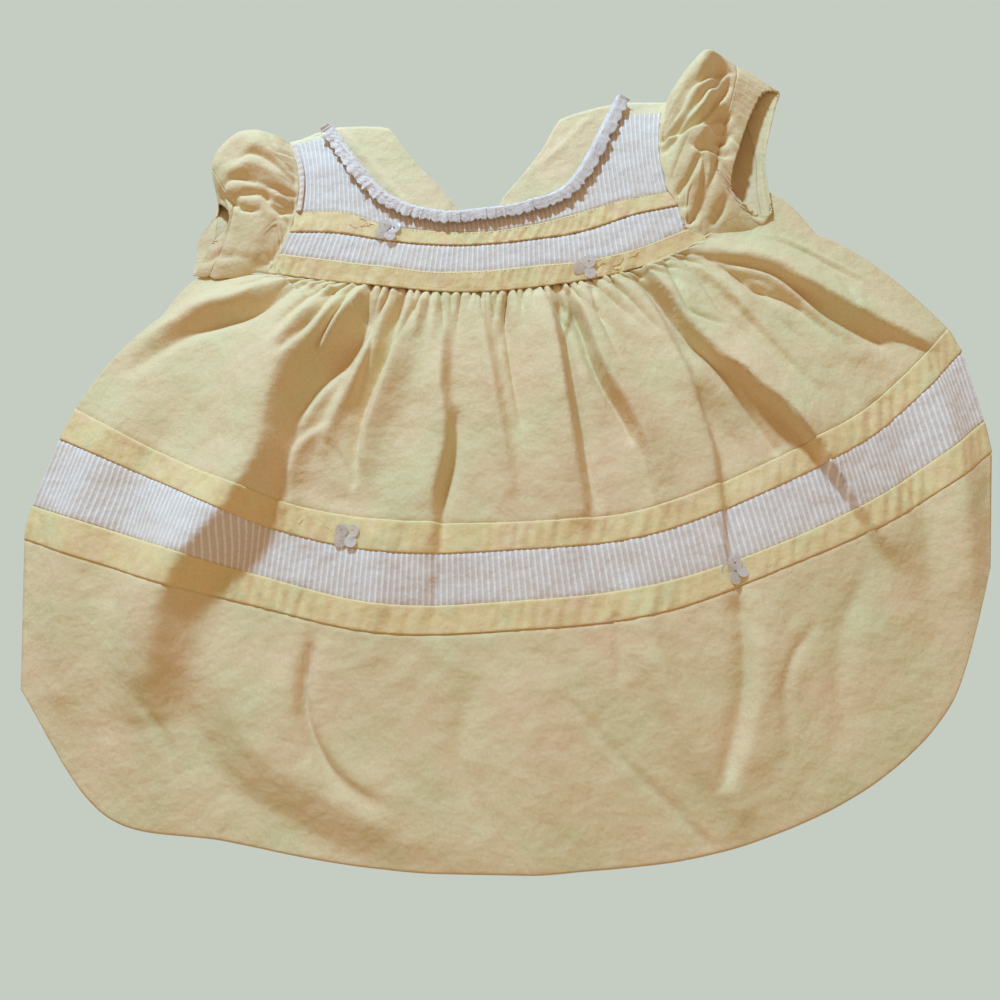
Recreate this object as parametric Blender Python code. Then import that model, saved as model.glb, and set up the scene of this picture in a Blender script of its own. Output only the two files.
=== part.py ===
"""A baby's yoked cotton dress with puff sleeves, laid out flat on its back.

Every sewn piece is one closed wall of cloth. The tables are in millimetres in the maker's
frame: x runs from the wearer's right to left, y from the hem towards the neck, and z up
from the table. ORIGIN moves that frame to the middle of the dress's own box.
"""
from collections import namedtuple
import functools
import math

import bmesh
import bpy
import numpy as np

MM = 0.001
ORIGIN = (3.0, -127.8)

# Cloth and seams.
BACK_WALL = 1.2
FRONT_WALL = 1.5
SLEEVE_WALL = 1.6
TRIM_WALL = 1.2
SEAM_GAP = 0.3
BAND_RAISED = 0.4
LIE_GAP = 0.4
FRONT_LOW = BACK_WALL + LIE_GAP + FRONT_WALL
SOFTNESS = 1.0

# Gathers.
WAIST_GATHERS = 40
GATHER_RISE = 0.9
GATHER_FADE = 14.0
SLEEVE_GATHERS = 20

# How finely each wall is cut: columns across, rows along.
GATHERED_COLUMNS = 80
PANEL_COLUMNS = 56
YOKE_COLUMNS = 40
YOKE_ROWS = 5
BODICE_ROWS = 8
UPPER_SKIRT_ROWS = 8
LOWER_SKIRT_ROWS = 4
BAND_ROWS = 1
BACK_COLUMNS = 24
BACK_ROWS = 6
SLEEVE_COLUMNS = 40
SLEEVE_ROWS = 7
CUFF_ROWS = 1
LACE_COLUMNS = 72
LACE_ROWS = 2
PIPING_COLUMNS = 2
PIPING_ROWS = 12

# Skirt lines from waist to hem. Each row holds (x, y) at nine even stations of the line,
# from the wearer's right side seam to the left one.
SKIRT_LINES = {
    "waist": ((-104, -29.3), (-77, -36), (-49, -42), (-22, -48), (6, -51),
              (33, -51), (61, -49), (88, -44), (116, -34.3)),
    "flare": ((-158, -45), (-115, -62), (-68, -82), (-31, -92), (5, -95),
              (42, -94), (82, -84), (125, -62), (169, -35)),
    "upper_band_top": ((-201, -90), (-154, -119), (-104, -145), (-51, -160), (5, -166),
                       (65, -166), (123, -150), (176, -127), (222, -91)),
    "insert_top": ((-208, -105), (-157, -132), (-107, -158), (-52, -175), (5, -179),
                   (66, -178), (125, -162), (179, -139), (226, -103)),
    "insert_bottom": ((-220, -137), (-165, -159), (-111, -180), (-55, -198), (5, -202),
                      (68, -200), (128, -186), (182, -165), (229, -138)),
    "lower_band_bottom": ((-223, -153), (-168, -175), (-113, -194), (-56, -211), (5, -215),
                          (68, -213), (128, -197), (183, -178), (229, -153)),
    "hem": ((-221, -222), (-181, -278), (-128, -293), (-63, -309), (5, -315),
            (74, -314), (139, -296), (187, -262), (217, -205)),
}
# Height of each skirt line above the lowest lie of the front, away from folds.
SKIRT_LOFT = (3.4, 3.2, 3.0, 3.0, 3.0, 3.0, 0.3)

# Yoke lines from waist to band top, at the same nine stations between the armholes.
YOKE_LINES = {
    "waist": ((-104, -29), (-77, -36), (-49, -42), (-22, -48), (6, -51),
              (33, -51), (61, -49), (88, -44), (116, -34)),
    "insert_bottom": ((-97, -20), (-72, -26), (-46, -32), (-21, -38), (5, -40),
                      (30, -40), (55, -40), (81, -36), (106, -28)),
    "insert_top": ((-91, -9), (-67, -12), (-42, -19), (-18, -24), (6, -26),
                   (31, -26), (55, -24), (80, -18), (104, -15)),
    "band_top": ((-88, 2), (-65, 0), (-41, -11), (-18, -16), (6, -19),
                 (30, -18), (53, -14), (77, -9), (100, -7)),
}
# Top edges over the band's stations: shoulder, neck point, neckline, neck point, shoulder.
FRONT_TOP = ((-91, 45), (-66, 49), (-43, 12), (-18, -4), (5, -6),
             (29, -4), (52, 8), (78, 49), (105, 46))
NECK_BULGE = 1.8
NECK_SHARE = 0.75  # of the half width, where the neck points are
ARMHOLE_HOLLOW = 3.5
# The open back placket: each half's top edge runs from shoulder to the foot of the V.
BACK_RIGHT_TOP = ((-91, 47), (-66, 52), (-39, 46), (-21, 20), (4, -16))
BACK_LEFT_TOP = ((6, -16), (29, 14), (49, 43), (77, 52), (105, 49))
PLACKET_SHARE = 0.01  # of the half width, left open at the foot of the placket
# Share of the armhole, from the shoulder, at which each yoke line meets it, and the share of a
# back half's rows below each line.
ARMHOLE_KNOTS = (0, 0.62, 0.76, 0.86, 1)
BODICE_KNOTS = (0, 0.2, 0.3, 0.4, 1)
ARMHOLE_GAP = 1.2
ARMHOLE_LENGTH = 80.0
ARMHOLE_BACK = 0.9
SLEEVE_LOW = 0.3
END_INSETS = (3.2, 2.8, 2.2, 1.6, 1.0, 0.6)
YOKE_LOFT = 4.6
SEAM_END_DROP = 2.2
SHOULDER_DROP = 2.4

# The main folds of the front. Each follows four points from waist to hem; high0 to high3
# are its height there (a trough is negative), and the two widths are to its left and right.
Fold = namedtuple("Fold", "x0 y0 x1 y1 x2 y2 x3 y3 high0 high1 high2 high3 left right")
FOLDS = (
    Fold(-83, -46, -110, -48, -140, -51, -178, -66, -2, -4, -3, -2, 7, 7),
    Fold(-91, -57, -118, -66, -150, -78, -188, -97, 2, 5, 5, 3, 10, 10),
    Fold(-62, -46, -96, -80, -124, -133, -137, -205, 2, 14, 17, 4, 26, 13),
    Fold(-52, -52, -72, -88, -94, -125, -108, -165, -2, -3, -3, -1, 8, 8),
    Fold(-47, -53, -58, -88, -75, -120, -88, -152, 3, 5, 5, 2, 8, 9),
    Fold(-41, -52, -50, -80, -58, -110, -65, -142, -3, -4, -3, -1, 5, 5),
    Fold(-30, -54, -34, -90, -40, -130, -46, -165, 2, 4, 4, 1, 9, 9),
    Fold(-14, -56, -24, -100, -32, -145, -37, -195, 2, 6, 8, 2, 14, 5),
    Fold(28, -58, 32, -95, 36, -130, 40, -165, 3, 6, 7, 2, 13, 5),
    Fold(50, -58, 62, -88, 76, -118, 86, -152, 3, 7, 6, 2, 5, 14),
    Fold(76, -56, 98, -100, 113, -150, 118, -225, 1, 3, 4, 3, 6, 12),
    Fold(88, -52, 114, -84, 142, -116, 176, -166, 3, 11, 14, 5, 6, 22),
    Fold(84, -60, 104, -90, 130, -122, 160, -170, -2, -4, -4, -1, 7, 6),
    Fold(120, -40, 147, -48, 173, -62, 207, -92, 2, 8, 10, 5, 6, 16),
    Fold(-150, -98, -168, -130, -178, -180, -180, -240, -1, -3, -4, -2, 10, 10),
    Fold(-172, -82, -192, -122, -202, -170, -201, -222, 1, 5, 7, 4, 12, 12),
    Fold(184, -110, 192, -145, 193, -185, 188, -235, -2, -4, -4, -2, 10, 10),
    Fold(192, -80, 207, -118, 211, -165, 206, -208, 1, 6, 7, 4, 10, 12),
    Fold(-137, -225, -124, -262, -94, -282, -52, -300, -2, -4, -4, -2, 14, 14),
    Fold(-85, -216, -91, -237, -80, -267, -51, -284, -2, -3, -3, -2, 6, 8),
    Fold(5, -225, 5, -255, 5, -285, 5, -315, 1, 4, 5, 5.5, 20, 20),
    Fold(36, -264, 52, -282, 68, -298, 84, -314, -1, -2, -2, -1, 4, 6),
    Fold(80, -225, 90, -255, 96, -280, 98, -304, -2, -4, -4, -1, 9, 9),
    Fold(118, -222, 119, -245, 113, -270, 106, -300, 3, 5, 4, 1, 5, 12),
)
FOLD_STEPS = 14

# Sleeve sections from the armhole outwards. Each loop passes through a top end, the middle of
# its front, a low end and the middle of its back, as (x, y, z).
Section = namedtuple("Section", "top front low back")
RIGHT_SLEEVE = (  # on the wearer's right, at -x
    Section((-98, 46, 11), (-97, 8, 17), (-110, -25, 6), (-97, 8, 0.7)),
    Section((-108, 46, 16), (-102, 6, 27), (-119, -24, 6), (-107, 8, 0.7)),
    Section((-121, 39, 17), (-110, 1, 31), (-128, -25, 5), (-117, 6, 0.7)),
    Section((-125, 20, 16), (-114, -4, 24), (-134, -26, 5), (-128, 0, 0.9)),
    Section((-121, 6, 15), (-121, -9, 16), (-140, -24, 4), (-137, -4, 1.6)),
)
LEFT_SLEEVE = (  # on the wearer's left, at +x
    Section((109, 49, 11), (108, 8, 18), (121, -31, 8), (113, 8, 0.7)),
    Section((117, 56, 15), (112, 8, 29), (127, -33, 9.5), (124, 12, 0.7)),
    Section((129, 60, 19), (116, 4, 35), (135, -34, 10), (138, 16, 0.7)),
    Section((142, 50, 21), (118, -2, 33), (140, -31, 11), (147, 16, 1.0)),
    Section((153, 40, 17), (128, -3, 31), (147, -25, 11), (152, 11, 2.6)),
)
CUFF_START = 0.82
CUFF_GAP = 0.03
SLEEVE_FLATNESS = 1.5
PUFF_LEAN = 0.25
HEAD_RISE = 0.8
CUFF_RISE = 0.6
# Large troughs of the sleeves: angle round the loop, where along, spans and depth.
Dent = namedtuple("Dent", "angle along wide long deep")
RIGHT_DENTS = (
    Dent(38, 0.30, 9, 0.22, 3.0),
    Dent(72, 0.22, 8, 0.20, 2.5),
    Dent(92, 0.52, 12, 0.18, 3.5),
    Dent(128, 0.45, 14, 0.22, 2.0),
)
LEFT_DENTS = (
    Dent(30, 0.40, 9, 0.30, 4.0),
    Dent(58, 0.45, 9, 0.28, 4.5),
    Dent(88, 0.60, 12, 0.16, 3.0),
    Dent(112, 0.35, 8, 0.20, 3.0),
    Dent(146, 0.50, 9, 0.26, 3.0),
)

LACE_LENGTH = 130.0
LACE_ROOT = 0.6
LACE_REACH = 10.0
LACE_RISE = 8.0
LACE_RUFFLES = 24
LACE_RUFFLE_RISE = 0.5
LACE_SCALLOPS = 32
LACE_SCALLOP_DEPTH = 0.8
LACE_CURL = 7.0

PIPING_WIDE = 2.6
PIPING_ROUND = 0.5
PIPING_INSET = 0.4
PIPING_SPAN = (0.04, 0.62)  # shares of the armhole, from the shoulder

# Clusters of clear round sequins: middle, turn in degrees and which wall carries them.
Cluster = namedtuple("Cluster", "name x y turn discs")
CLUSTERS = (
    Cluster("sequins_yoke_right", -42, -14, 20, 4),
    Cluster("sequins_yoke_left", 54, -44, 60, 3),
    Cluster("sequins_skirt_right", -69, -166, 35, 4),
    Cluster("sequins_skirt_left", 104, -197, 80, 4),
)
DISC_RADIUS = 3.3
DISC_OFFSET = 3.6
DISC_WALL = 1.0
DISC_CLEAR = 1.1
CLUSTER_HUB = 0.6
CLUSTER_SECTORS = 24

# Colours: name, red, green, blue (linear), roughness.
Finish = namedtuple("Finish", "red green blue rough")
FINISHES = {
    "yellow_cotton": Finish(0.76, 0.62, 0.34, 0.85),
    "band_cotton": Finish(0.80, 0.66, 0.36, 0.8),
    "tucked_voile": Finish(0.72, 0.68, 0.74, 0.8),
    "lace": Finish(0.74, 0.68, 0.76, 0.85),
    "piping": Finish(0.78, 0.62, 0.55, 0.8),
    "clear_sequin": Finish(0.85, 0.84, 0.82, 0.15),
}


def smooth(t):
    """0 below 0, 1 above 1 and an even ease between."""
    t = np.clip(t, 0.0, 1.0)
    return t * t * (3.0 - 2.0 * t)


def curve(points, t):
    """Points at t (0 to 1) on a smooth curve through evenly spaced points."""
    points = np.asarray(points, float)
    points = np.concatenate([2 * points[:1] - points[1:2], points, 2 * points[-1:] - points[-2:-1]])
    spans = len(points) - 3
    along = np.clip(np.asarray(t, float) * spans, 0.0, spans)
    first = np.minimum(along.astype(int), spans - 1)
    f = (along - first)[..., None]
    a, b, c, d = (points[first + i] for i in range(4))
    bend = 2 * a - 5 * b + 4 * c - d + f * (3 * b - a - 3 * c + d)
    return b + 0.5 * f * (c - a + f * bend)


def fold_height(x, y, fold):
    """Height that one fold adds at (x, y)."""
    path = curve(np.reshape(fold[:8], (4, 2)), np.linspace(0, 1, FOLD_STEPS))
    highs = curve(np.reshape(fold[8:12], (4, 1)), np.linspace(0, 1, FOLD_STEPS))[:, 0]
    nearest = np.full(np.shape(x), np.inf)
    result = np.zeros(np.shape(x))
    for (ax, ay), (bx, by), high_a, high_b in zip(path, path[1:], highs, highs[1:]):
        dx, dy = bx - ax, by - ay
        length = math.hypot(dx, dy)
        s = np.clip(((x - ax) * dx + (y - ay) * dy) / length ** 2, 0, 1)
        away_x, away_y = x - ax - s * dx, y - ay - s * dy
        away = np.hypot(away_x, away_y)
        side = dx * away_y - dy * away_x
        wide = np.where(side > 0, fold.right, fold.left)
        high = (high_a + s * (high_b - high_a)) * np.exp(-((away / wide) ** 2))
        result = np.where(away < nearest, high, result)
        nearest = np.minimum(away, nearest)
    return result


def soft_floor(z):
    """Keeps the front off the back without a crease where it comes to rest."""
    return FRONT_LOW + SOFTNESS * np.logaddexp(0, (z - FRONT_LOW) / SOFTNESS)


def gathers(u, below):
    """Gathers that leave the waist seam; each fades at its own distance below it."""
    index = np.floor((u + 1) / 2 * WAIST_GATHERS + 0.5)
    fade = GATHER_FADE * (1.0 + 0.5 * np.sin(2.3 * index) + 0.3 * np.sin(5.1 * index))
    wave = np.cos(math.pi * WAIST_GATHERS * (u + 1))
    return GATHER_RISE * wave * np.exp(-np.maximum(below, 0) / fade)


def skirt_plan(u, v):
    """(x, y) of the skirt at u (-1 to 1 across) and v (line number, 0 waist to 6 hem)."""
    lines = [curve(line, (u + 1) / 2) for line in SKIRT_LINES.values()]
    upper = (
        lines[0] * ((v - 1) * (v - 2) / 2)[..., None]
        + lines[1] * (v * (2 - v))[..., None]
        + lines[2] * (v * (v - 1) / 2)[..., None]
    )
    lower = sum(line * np.clip(1 - abs(v - i), 0, 1)[..., None] for i, line in enumerate(lines))
    return np.where((v < 2)[..., None], upper, lower)


def skirt_height(u, v, xy):
    x, y = xy[..., 0], xy[..., 1]
    waist = curve(SKIRT_LINES["waist"], (u + 1) / 2)
    below = np.hypot(x - waist[..., 0], y - waist[..., 1])
    loft = np.interp(v, range(len(SKIRT_LOFT)), SKIRT_LOFT)
    edge = np.abs(u) ** 8 * smooth((below + 18) / 25)
    z = FRONT_LOW + loft * (1 - edge)
    folds = sum(fold_height(x, y, fold) for fold in FOLDS)
    z = z + folds * smooth(below / 18) * (1 - np.abs(u) ** 16)
    return soft_floor(z) + gathers(u, below) * (1 - np.abs(u) ** 12)


def yoke_plan(u, r, top):
    """(x, y) of the yoke at u across and r (line number, 0 waist to 3 band top, 4 top edge)."""
    lines = [curve(line, (u + 1) / 2) for line in YOKE_LINES.values()]
    lines.append(top)
    xy = sum(line * np.clip(1 - abs(r - i), 0, 1)[..., None] for i, line in enumerate(lines))
    hollow = ARMHOLE_HOLLOW * np.sin(math.pi * np.clip(r - 3, 0, 1)) * np.abs(u) ** 6
    return np.stack([xy[..., 0] - np.sign(u) * hollow, xy[..., 1]], axis=-1)


def front_top(u):
    """The front's top edge: straight shoulders, and a neckline rounder than its stations."""
    u = np.asarray(u, float)
    stations = np.asarray(FRONT_TOP, float)
    straight = np.stack([np.interp((u + 1) * 4, range(9), stations[:, i]) for i in (0, 1)], -1)
    neck = curve(stations[1:8], (u / NECK_SHARE + 1) / 2)
    neck[..., 1] -= NECK_BULGE * np.sin(math.pi * np.clip((np.abs(u) - 0.25) / 0.5, 0, 1))
    return np.where((np.abs(u) < NECK_SHARE)[..., None], neck, straight)


def yoke_height(u, r, xy):
    ends = np.abs(u) ** 6 * smooth(1 - r / 1.5)
    shoulder = smooth((xy[..., 1] - 22) / 26)
    loft = YOKE_LOFT - SEAM_END_DROP * ends - SHOULDER_DROP * shoulder
    waist_ease = (SKIRT_LOFT[0] - YOKE_LOFT) * smooth(1 - r / 1.2) * (1 - np.abs(u) ** 6)
    return soft_floor(FRONT_LOW + loft + waist_ease)


def with_height(xy, z):
    return np.concatenate([xy, z[..., None]], axis=-1)


def between(plan, u, t, low, high):
    """Maps t (0 to 1) to the line numbers low to high, half a seam gap inside each."""
    span = np.linalg.norm(plan(u, low + 0 * u) - plan(u, low + 0.2 + 0 * u), axis=-1) / 0.2
    far = np.linalg.norm(plan(u, high + 0 * u) - plan(u, high - 0.2 + 0 * u), axis=-1) / 0.2
    start, end = low + SEAM_GAP / 2 / span, high - SEAM_GAP / 2 / far
    return start + (end - start) * t


def skirt_point(low, high, raised=0.0):
    """The front skirt between two lines, as a function of the unit square."""
    def point(s, t):
        u = 2 * s - 1
        v = between(skirt_plan, u, t, low, high)
        xy = skirt_plan(u, v)
        return with_height(xy, skirt_height(u, v, xy) + raised)
    return point


def yoke_point(low, high, raised=0.0):
    def point(s, t):
        u = 2 * s - 1
        def plan(across, line):
            return yoke_plan(across, line, front_top(across))
        r = between(plan, u, t, low, high)
        xy = plan(u, r)
        return with_height(xy, yoke_height(u, r, xy) + raised)
    return point


def flat_back_skirt(s, t):
    u = 2 * s - 1
    xy = skirt_plan(u, between(skirt_plan, u, t, 0, 6))
    return with_height(xy, np.full(u.shape, BACK_WALL))


def flat_back_bodice(first, top):
    """Half of the back bodice, from side seam to placket; first is -1 or 0."""
    def point(s, t):
        u = first + s * (1 - PLACKET_SHARE) + (first + 1) * PLACKET_SHARE
        def plan(across, line):
            return yoke_plan(across, line, curve(top, across - first))
        low = between(plan, u, 0, 0, 4).min()
        r = low + (4 - low) * np.interp(t, BODICE_KNOTS, range(5)) / 4
        return with_height(plan(u, r), np.full(u.shape, BACK_WALL))
    return point


def armhole_edge(side, t, back=False):
    """The armhole from shoulder (t = 0) to underarm (t = 1)."""
    u = np.full(np.shape(t), float(side))
    r = np.interp(t, ARMHOLE_KNOTS, (4, 3, 2, 1, 0))
    xy = yoke_plan(u, r, front_top(u))
    z = np.full(np.shape(t), ARMHOLE_BACK) if back else yoke_height(u, r, xy)
    return with_height(xy, z)


def armhole_loop(side, angle, inset):
    """The sleeve's first loop: along the front armhole, round the underarm, back behind."""
    front = angle <= math.pi
    t = 0.5 - np.cos(angle) * (0.5 - END_INSETS[0] * inset / ARMHOLE_LENGTH)
    over, under = armhole_edge(side, t), armhole_edge(side, t, back=True)
    half = (over - under)[..., 2:] / 2
    open_by = np.abs(np.sin(angle))[..., None] ** 0.6 * (1 - inset / np.maximum(half, 2 * inset))
    middle = (over + under) / 2
    loop = middle + (np.where(front[..., None], over, under) - middle) * open_by
    loop[..., 0] += side * ARMHOLE_GAP
    loop[..., 1] += ARMHOLE_GAP * t ** 4
    return loop


def inset_section(section, inset, ends):
    """The same section with its four points moved inwards, its two ends by more or less."""
    top, front, low, back = (np.asarray(p, float) for p in section)
    length, depth = low - top, back - front
    length *= ends * inset / np.linalg.norm(length)
    depth *= inset / np.linalg.norm(depth)
    return Section(top + length, front + depth, low - length, back - depth)


def section_loop(section, angle):
    top, front, low, back = (np.asarray(p, float) for p in section)
    middle = (top + low) / 2
    cos, sin = np.cos(angle)[..., None], np.sin(angle)[..., None]
    over = middle + cos * (top - low) / 2 + np.clip(sin, 0, 1) * (front - middle)
    under = np.abs(np.clip(sin, -1, 0))
    shift = (back - middle) * np.concatenate([under, under, under ** SLEEVE_FLATNESS], axis=-1)
    return np.where(sin >= 0, over, middle + cos * (top - low) / 2 + shift)


def sleeve_surface(side, sections, dents, angle, along, inset=0.0):
    """Point of a puff sleeve: angle round it from its top end, along it 0 to 1."""
    loops = np.stack(
        [armhole_loop(side, angle, inset)]
        + [
            section_loop(inset_section(s, inset, ends), angle)
            for s, ends in zip(sections, END_INSETS[1:])
        ]
    )
    spans = len(loops) - 1
    step = np.minimum((along * spans).astype(int), spans - 1)
    padded = np.concatenate([2 * loops[:1] - loops[1:2], loops, 2 * loops[-1:] - loops[-2:-1]])
    f = (along * spans - step)[..., None]
    pick = np.indices(step.shape)
    a, b, c, d = (padded[(step + i, *pick)] for i in range(4))
    bend = 2 * a - 5 * b + 4 * c - d + f * (3 * b - a - 3 * c + d)
    point = b + 0.5 * f * (c - a + f * bend)
    middle = np.mean([section_loop(s, np.array([0.0, math.pi])) for s in sections], axis=(0, 1))
    out = point - middle
    out[..., 0] *= PUFF_LEAN
    out /= np.linalg.norm(out, axis=-1, keepdims=True)
    degrees = np.degrees(angle)
    wave = HEAD_RISE * smooth(along / 0.1) * smooth((0.45 - along) / 0.3)
    wave = wave + CUFF_RISE * smooth((along - 0.62) / 0.2)
    wave = wave * np.cos(SLEEVE_GATHERS * angle)
    for dent in dents:
        across = ((degrees - dent.angle) / dent.wide) ** 2
        wave = wave - dent.deep * np.exp(-across - ((along - dent.along) / dent.long) ** 2)
    lift = np.where(point[..., 2] < 3.0, np.abs(wave), wave)
    point = point + out * lift[..., None]
    point[..., 0] -= side * inset * smooth((along - 0.4) / 0.3)
    point[..., 2] = np.maximum(point[..., 2], SLEEVE_LOW + inset)
    return point


def neckline(s):
    """The neckline seam from the right neck point to the left one."""
    u = NECK_SHARE * (2 * s - 1)
    xy = front_top(u)
    r = np.full(np.shape(s), 4.0)
    return with_height(xy, yoke_height(u, r, xy))


def lace_point(s, t):
    """A gathered lace edging that stands off the neckline and leans out over the yoke."""
    along = (s - 0.5) * (1 + LACE_CURL / LACE_LENGTH) + 0.5
    inside = np.clip(along, 0, 1)
    seam = neckline(inside)
    run = neckline(np.clip(inside + 0.01, 0, 1)) - neckline(np.clip(inside - 0.01, 0, 1))
    run[..., 2] = 0
    run /= np.linalg.norm(run, axis=-1, keepdims=True)
    out = np.stack([run[..., 1], -run[..., 0], 0 * s], axis=-1)
    past = (along - inside)[..., None] * LACE_LENGTH
    seam = seam + run * past
    curl = smooth(np.abs(past[..., 0]) / LACE_CURL)
    scallop = LACE_SCALLOP_DEPTH * np.abs(np.sin(math.pi * LACE_SCALLOPS * s)) * t
    reach_out = LACE_ROOT + (LACE_REACH * (1 - 0.5 * curl) + scallop) * t
    ruffle = LACE_RUFFLE_RISE * np.cos(2 * math.pi * LACE_RUFFLES * s) * t
    rise = TRIM_WALL + 2 * SEAM_GAP + LACE_RISE * smooth(t * 0.9) * (1 + 0.3 * curl) + ruffle
    point = seam + out * reach_out[..., None]
    point[..., 2] = seam[..., 2] + rise
    return point


def piping_point(s, t):
    """The folded binding beside the right armhole, on the yoke's edge."""
    start, end = PIPING_SPAN
    point = armhole_edge(-1.0, start + (end - start) * t)
    point[..., 0] += PIPING_INSET + PIPING_WIDE * s
    point[..., 2] += SEAM_GAP + TRIM_WALL + PIPING_ROUND * np.sin(math.pi * s)
    return point


@functools.lru_cache(maxsize=None)
def front_samples():
    """Points spread closely over the whole front."""
    across = np.linspace(-1, 1, 241)
    u, v = np.meshgrid(across, np.linspace(0, 6, 151))
    skirt = skirt_plan(u, v)
    skirt = with_height(skirt, skirt_height(u, v, skirt))
    u, r = np.meshgrid(across, np.linspace(0, 4, 61))
    yoke = yoke_plan(u, r, front_top(u))
    yoke = with_height(yoke, yoke_height(u, r, yoke))
    return np.concatenate([skirt.reshape(-1, 3), yoke.reshape(-1, 3)])


def front_height_at(x, y):
    """Height of the front near (x, y): the highest of its closest samples."""
    samples = front_samples()
    away = np.hypot(samples[:, 0] - x, samples[:, 1] - y)
    return samples[np.argsort(away)[:4], 2].max()


def cluster_point(cluster):
    """A cluster of overlapping round sequins, as one plate that follows the cloth."""
    turn = math.radians(cluster.turn)
    pitch = 2 * math.pi / cluster.discs
    def point(s, t):
        angle = 2 * math.pi * s
        nearest = (angle - turn + pitch / 2) % pitch - pitch / 2
        across = DISC_OFFSET * np.sin(nearest)
        chord = np.sqrt(np.maximum(DISC_RADIUS ** 2 - across ** 2, 1))
        reach = DISC_OFFSET * np.cos(nearest) + chord
        radius = CLUSTER_HUB + (reach - CLUSTER_HUB) * t
        x, y = cluster.x + radius * np.cos(angle), cluster.y + radius * np.sin(angle)
        below = [front_height_at(a, b) for a, b in zip(x.flat, y.flat)]
        return np.stack([x, y, np.reshape(below, x.shape) + DISC_CLEAR + DISC_WALL], axis=-1)
    return point


def material(name):
    """The shared material of one finish."""
    found = bpy.data.materials.get(name)
    if found:
        return found
    finish = FINISHES[name]
    made = bpy.data.materials.new(name)
    made.use_nodes = True
    shader = made.node_tree.nodes["Principled BSDF"]
    shader.inputs["Base Color"].default_value = (finish.red, finish.green, finish.blue, 1)
    shader.inputs["Roughness"].default_value = finish.rough
    shader.inputs["Metallic"].default_value = 0.0
    made.diffuse_color = (finish.red, finish.green, finish.blue, 1)
    return made


def to_metres(points):
    shift = np.array([ORIGIN[0], ORIGIN[1], 0.0])
    return (np.asarray(points) - shift) * MM


def place_grid(bm, point):
    """Moves a flat 2 by 2 grid's corners to where point(s, t) puts them."""
    flat = np.array([v.co[:2] for v in bm.verts])
    placed = to_metres(point((flat[:, 0] + 1) / 2, (flat[:, 1] + 1) / 2))
    for vert, co in zip(bm.verts, placed):
        vert.co = co


def add_object(name, bm, finish, collection):
    bmesh.ops.recalc_face_normals(bm, faces=bm.faces)
    mesh = bpy.data.meshes.new(name)
    bm.to_mesh(mesh)
    bm.free()
    mesh.materials.append(material(finish))
    mesh.shade_smooth()
    mesh.set_sharp_from_angle(angle=math.radians(50))
    made = bpy.data.objects.new(name, mesh)
    collection.objects.link(made)
    return made


def thicken_down(bm, wall):
    """Turns an open sheet into a closed wall whose underside is the sheet moved down."""
    bmesh.ops.triangulate(bm, faces=bm.faces)
    under = bmesh.ops.extrude_face_region(bm, geom=bm.faces[:])["geom"]
    moved = [item for item in under if isinstance(item, bmesh.types.BMVert)]
    bmesh.ops.translate(bm, verts=moved, vec=(0, 0, -wall * MM))


def cloth_panel(name, point, columns, rows, wall, finish, collection):
    """A panel of cloth: a grid laid on point(s, t), thickened downwards."""
    bm = bmesh.new()
    bmesh.ops.create_grid(bm, x_segments=columns, y_segments=rows, size=1.0)
    place_grid(bm, point)
    thicken_down(bm, wall)
    return add_object(name, bm, finish, collection)


def round_plate(name, point, columns, wall, finish, collection):
    """A round plate: one ring of cloth-following faces, its middle filled, thickened downwards."""
    bm = bmesh.new()
    bmesh.ops.create_grid(bm, x_segments=columns, y_segments=1, size=1.0)
    place_grid(bm, point)
    bmesh.ops.remove_doubles(bm, verts=bm.verts, dist=0.00002)
    rim = [edge for edge in bm.edges if edge.is_boundary]
    inner = sorted(rim, key=lambda e: e.calc_length())[:columns]
    bmesh.ops.holes_fill(bm, edges=inner)
    thicken_down(bm, wall)
    return add_object(name, bm, finish, collection)


def cloth_tube(name, tube, columns, rows, finish, collection):
    """A tube of cloth: tube(s, t) gives its outer points and the inner points behind them."""
    bm = bmesh.new()
    bmesh.ops.create_grid(bm, x_segments=columns, y_segments=rows, size=1.0)
    flat = (np.array([v.co[:2] for v in bm.verts]) + 1) / 2
    outer, inner = (to_metres(side) for side in tube(flat[:, 0], flat[:, 1]))
    behind = {}
    for vert, out, back in zip(bm.verts, outer, inner):
        vert.co = out
        behind[tuple(vert.co)] = back
    bmesh.ops.remove_doubles(bm, verts=bm.verts, dist=0.00002)
    bmesh.ops.triangulate(bm, faces=bm.faces)
    copies = bmesh.ops.extrude_face_region(bm, geom=bm.faces[:])["geom"]
    for item in copies:
        if isinstance(item, bmesh.types.BMVert):
            item.co = behind[tuple(item.co)]
    return add_object(name, bm, finish, collection)


def sleeve_tube(side, sections, dents, low, high):
    """Outer and inner points of a stretch of a sleeve."""
    def tube(s, t):
        angle = 2 * math.pi * np.mod(s, 1.0)
        along = low + (high - low) * t
        return [
            sleeve_surface(side, sections, dents, angle, along, inset)
            for inset in (0.0, SLEEVE_WALL)
        ]
    return tube


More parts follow.
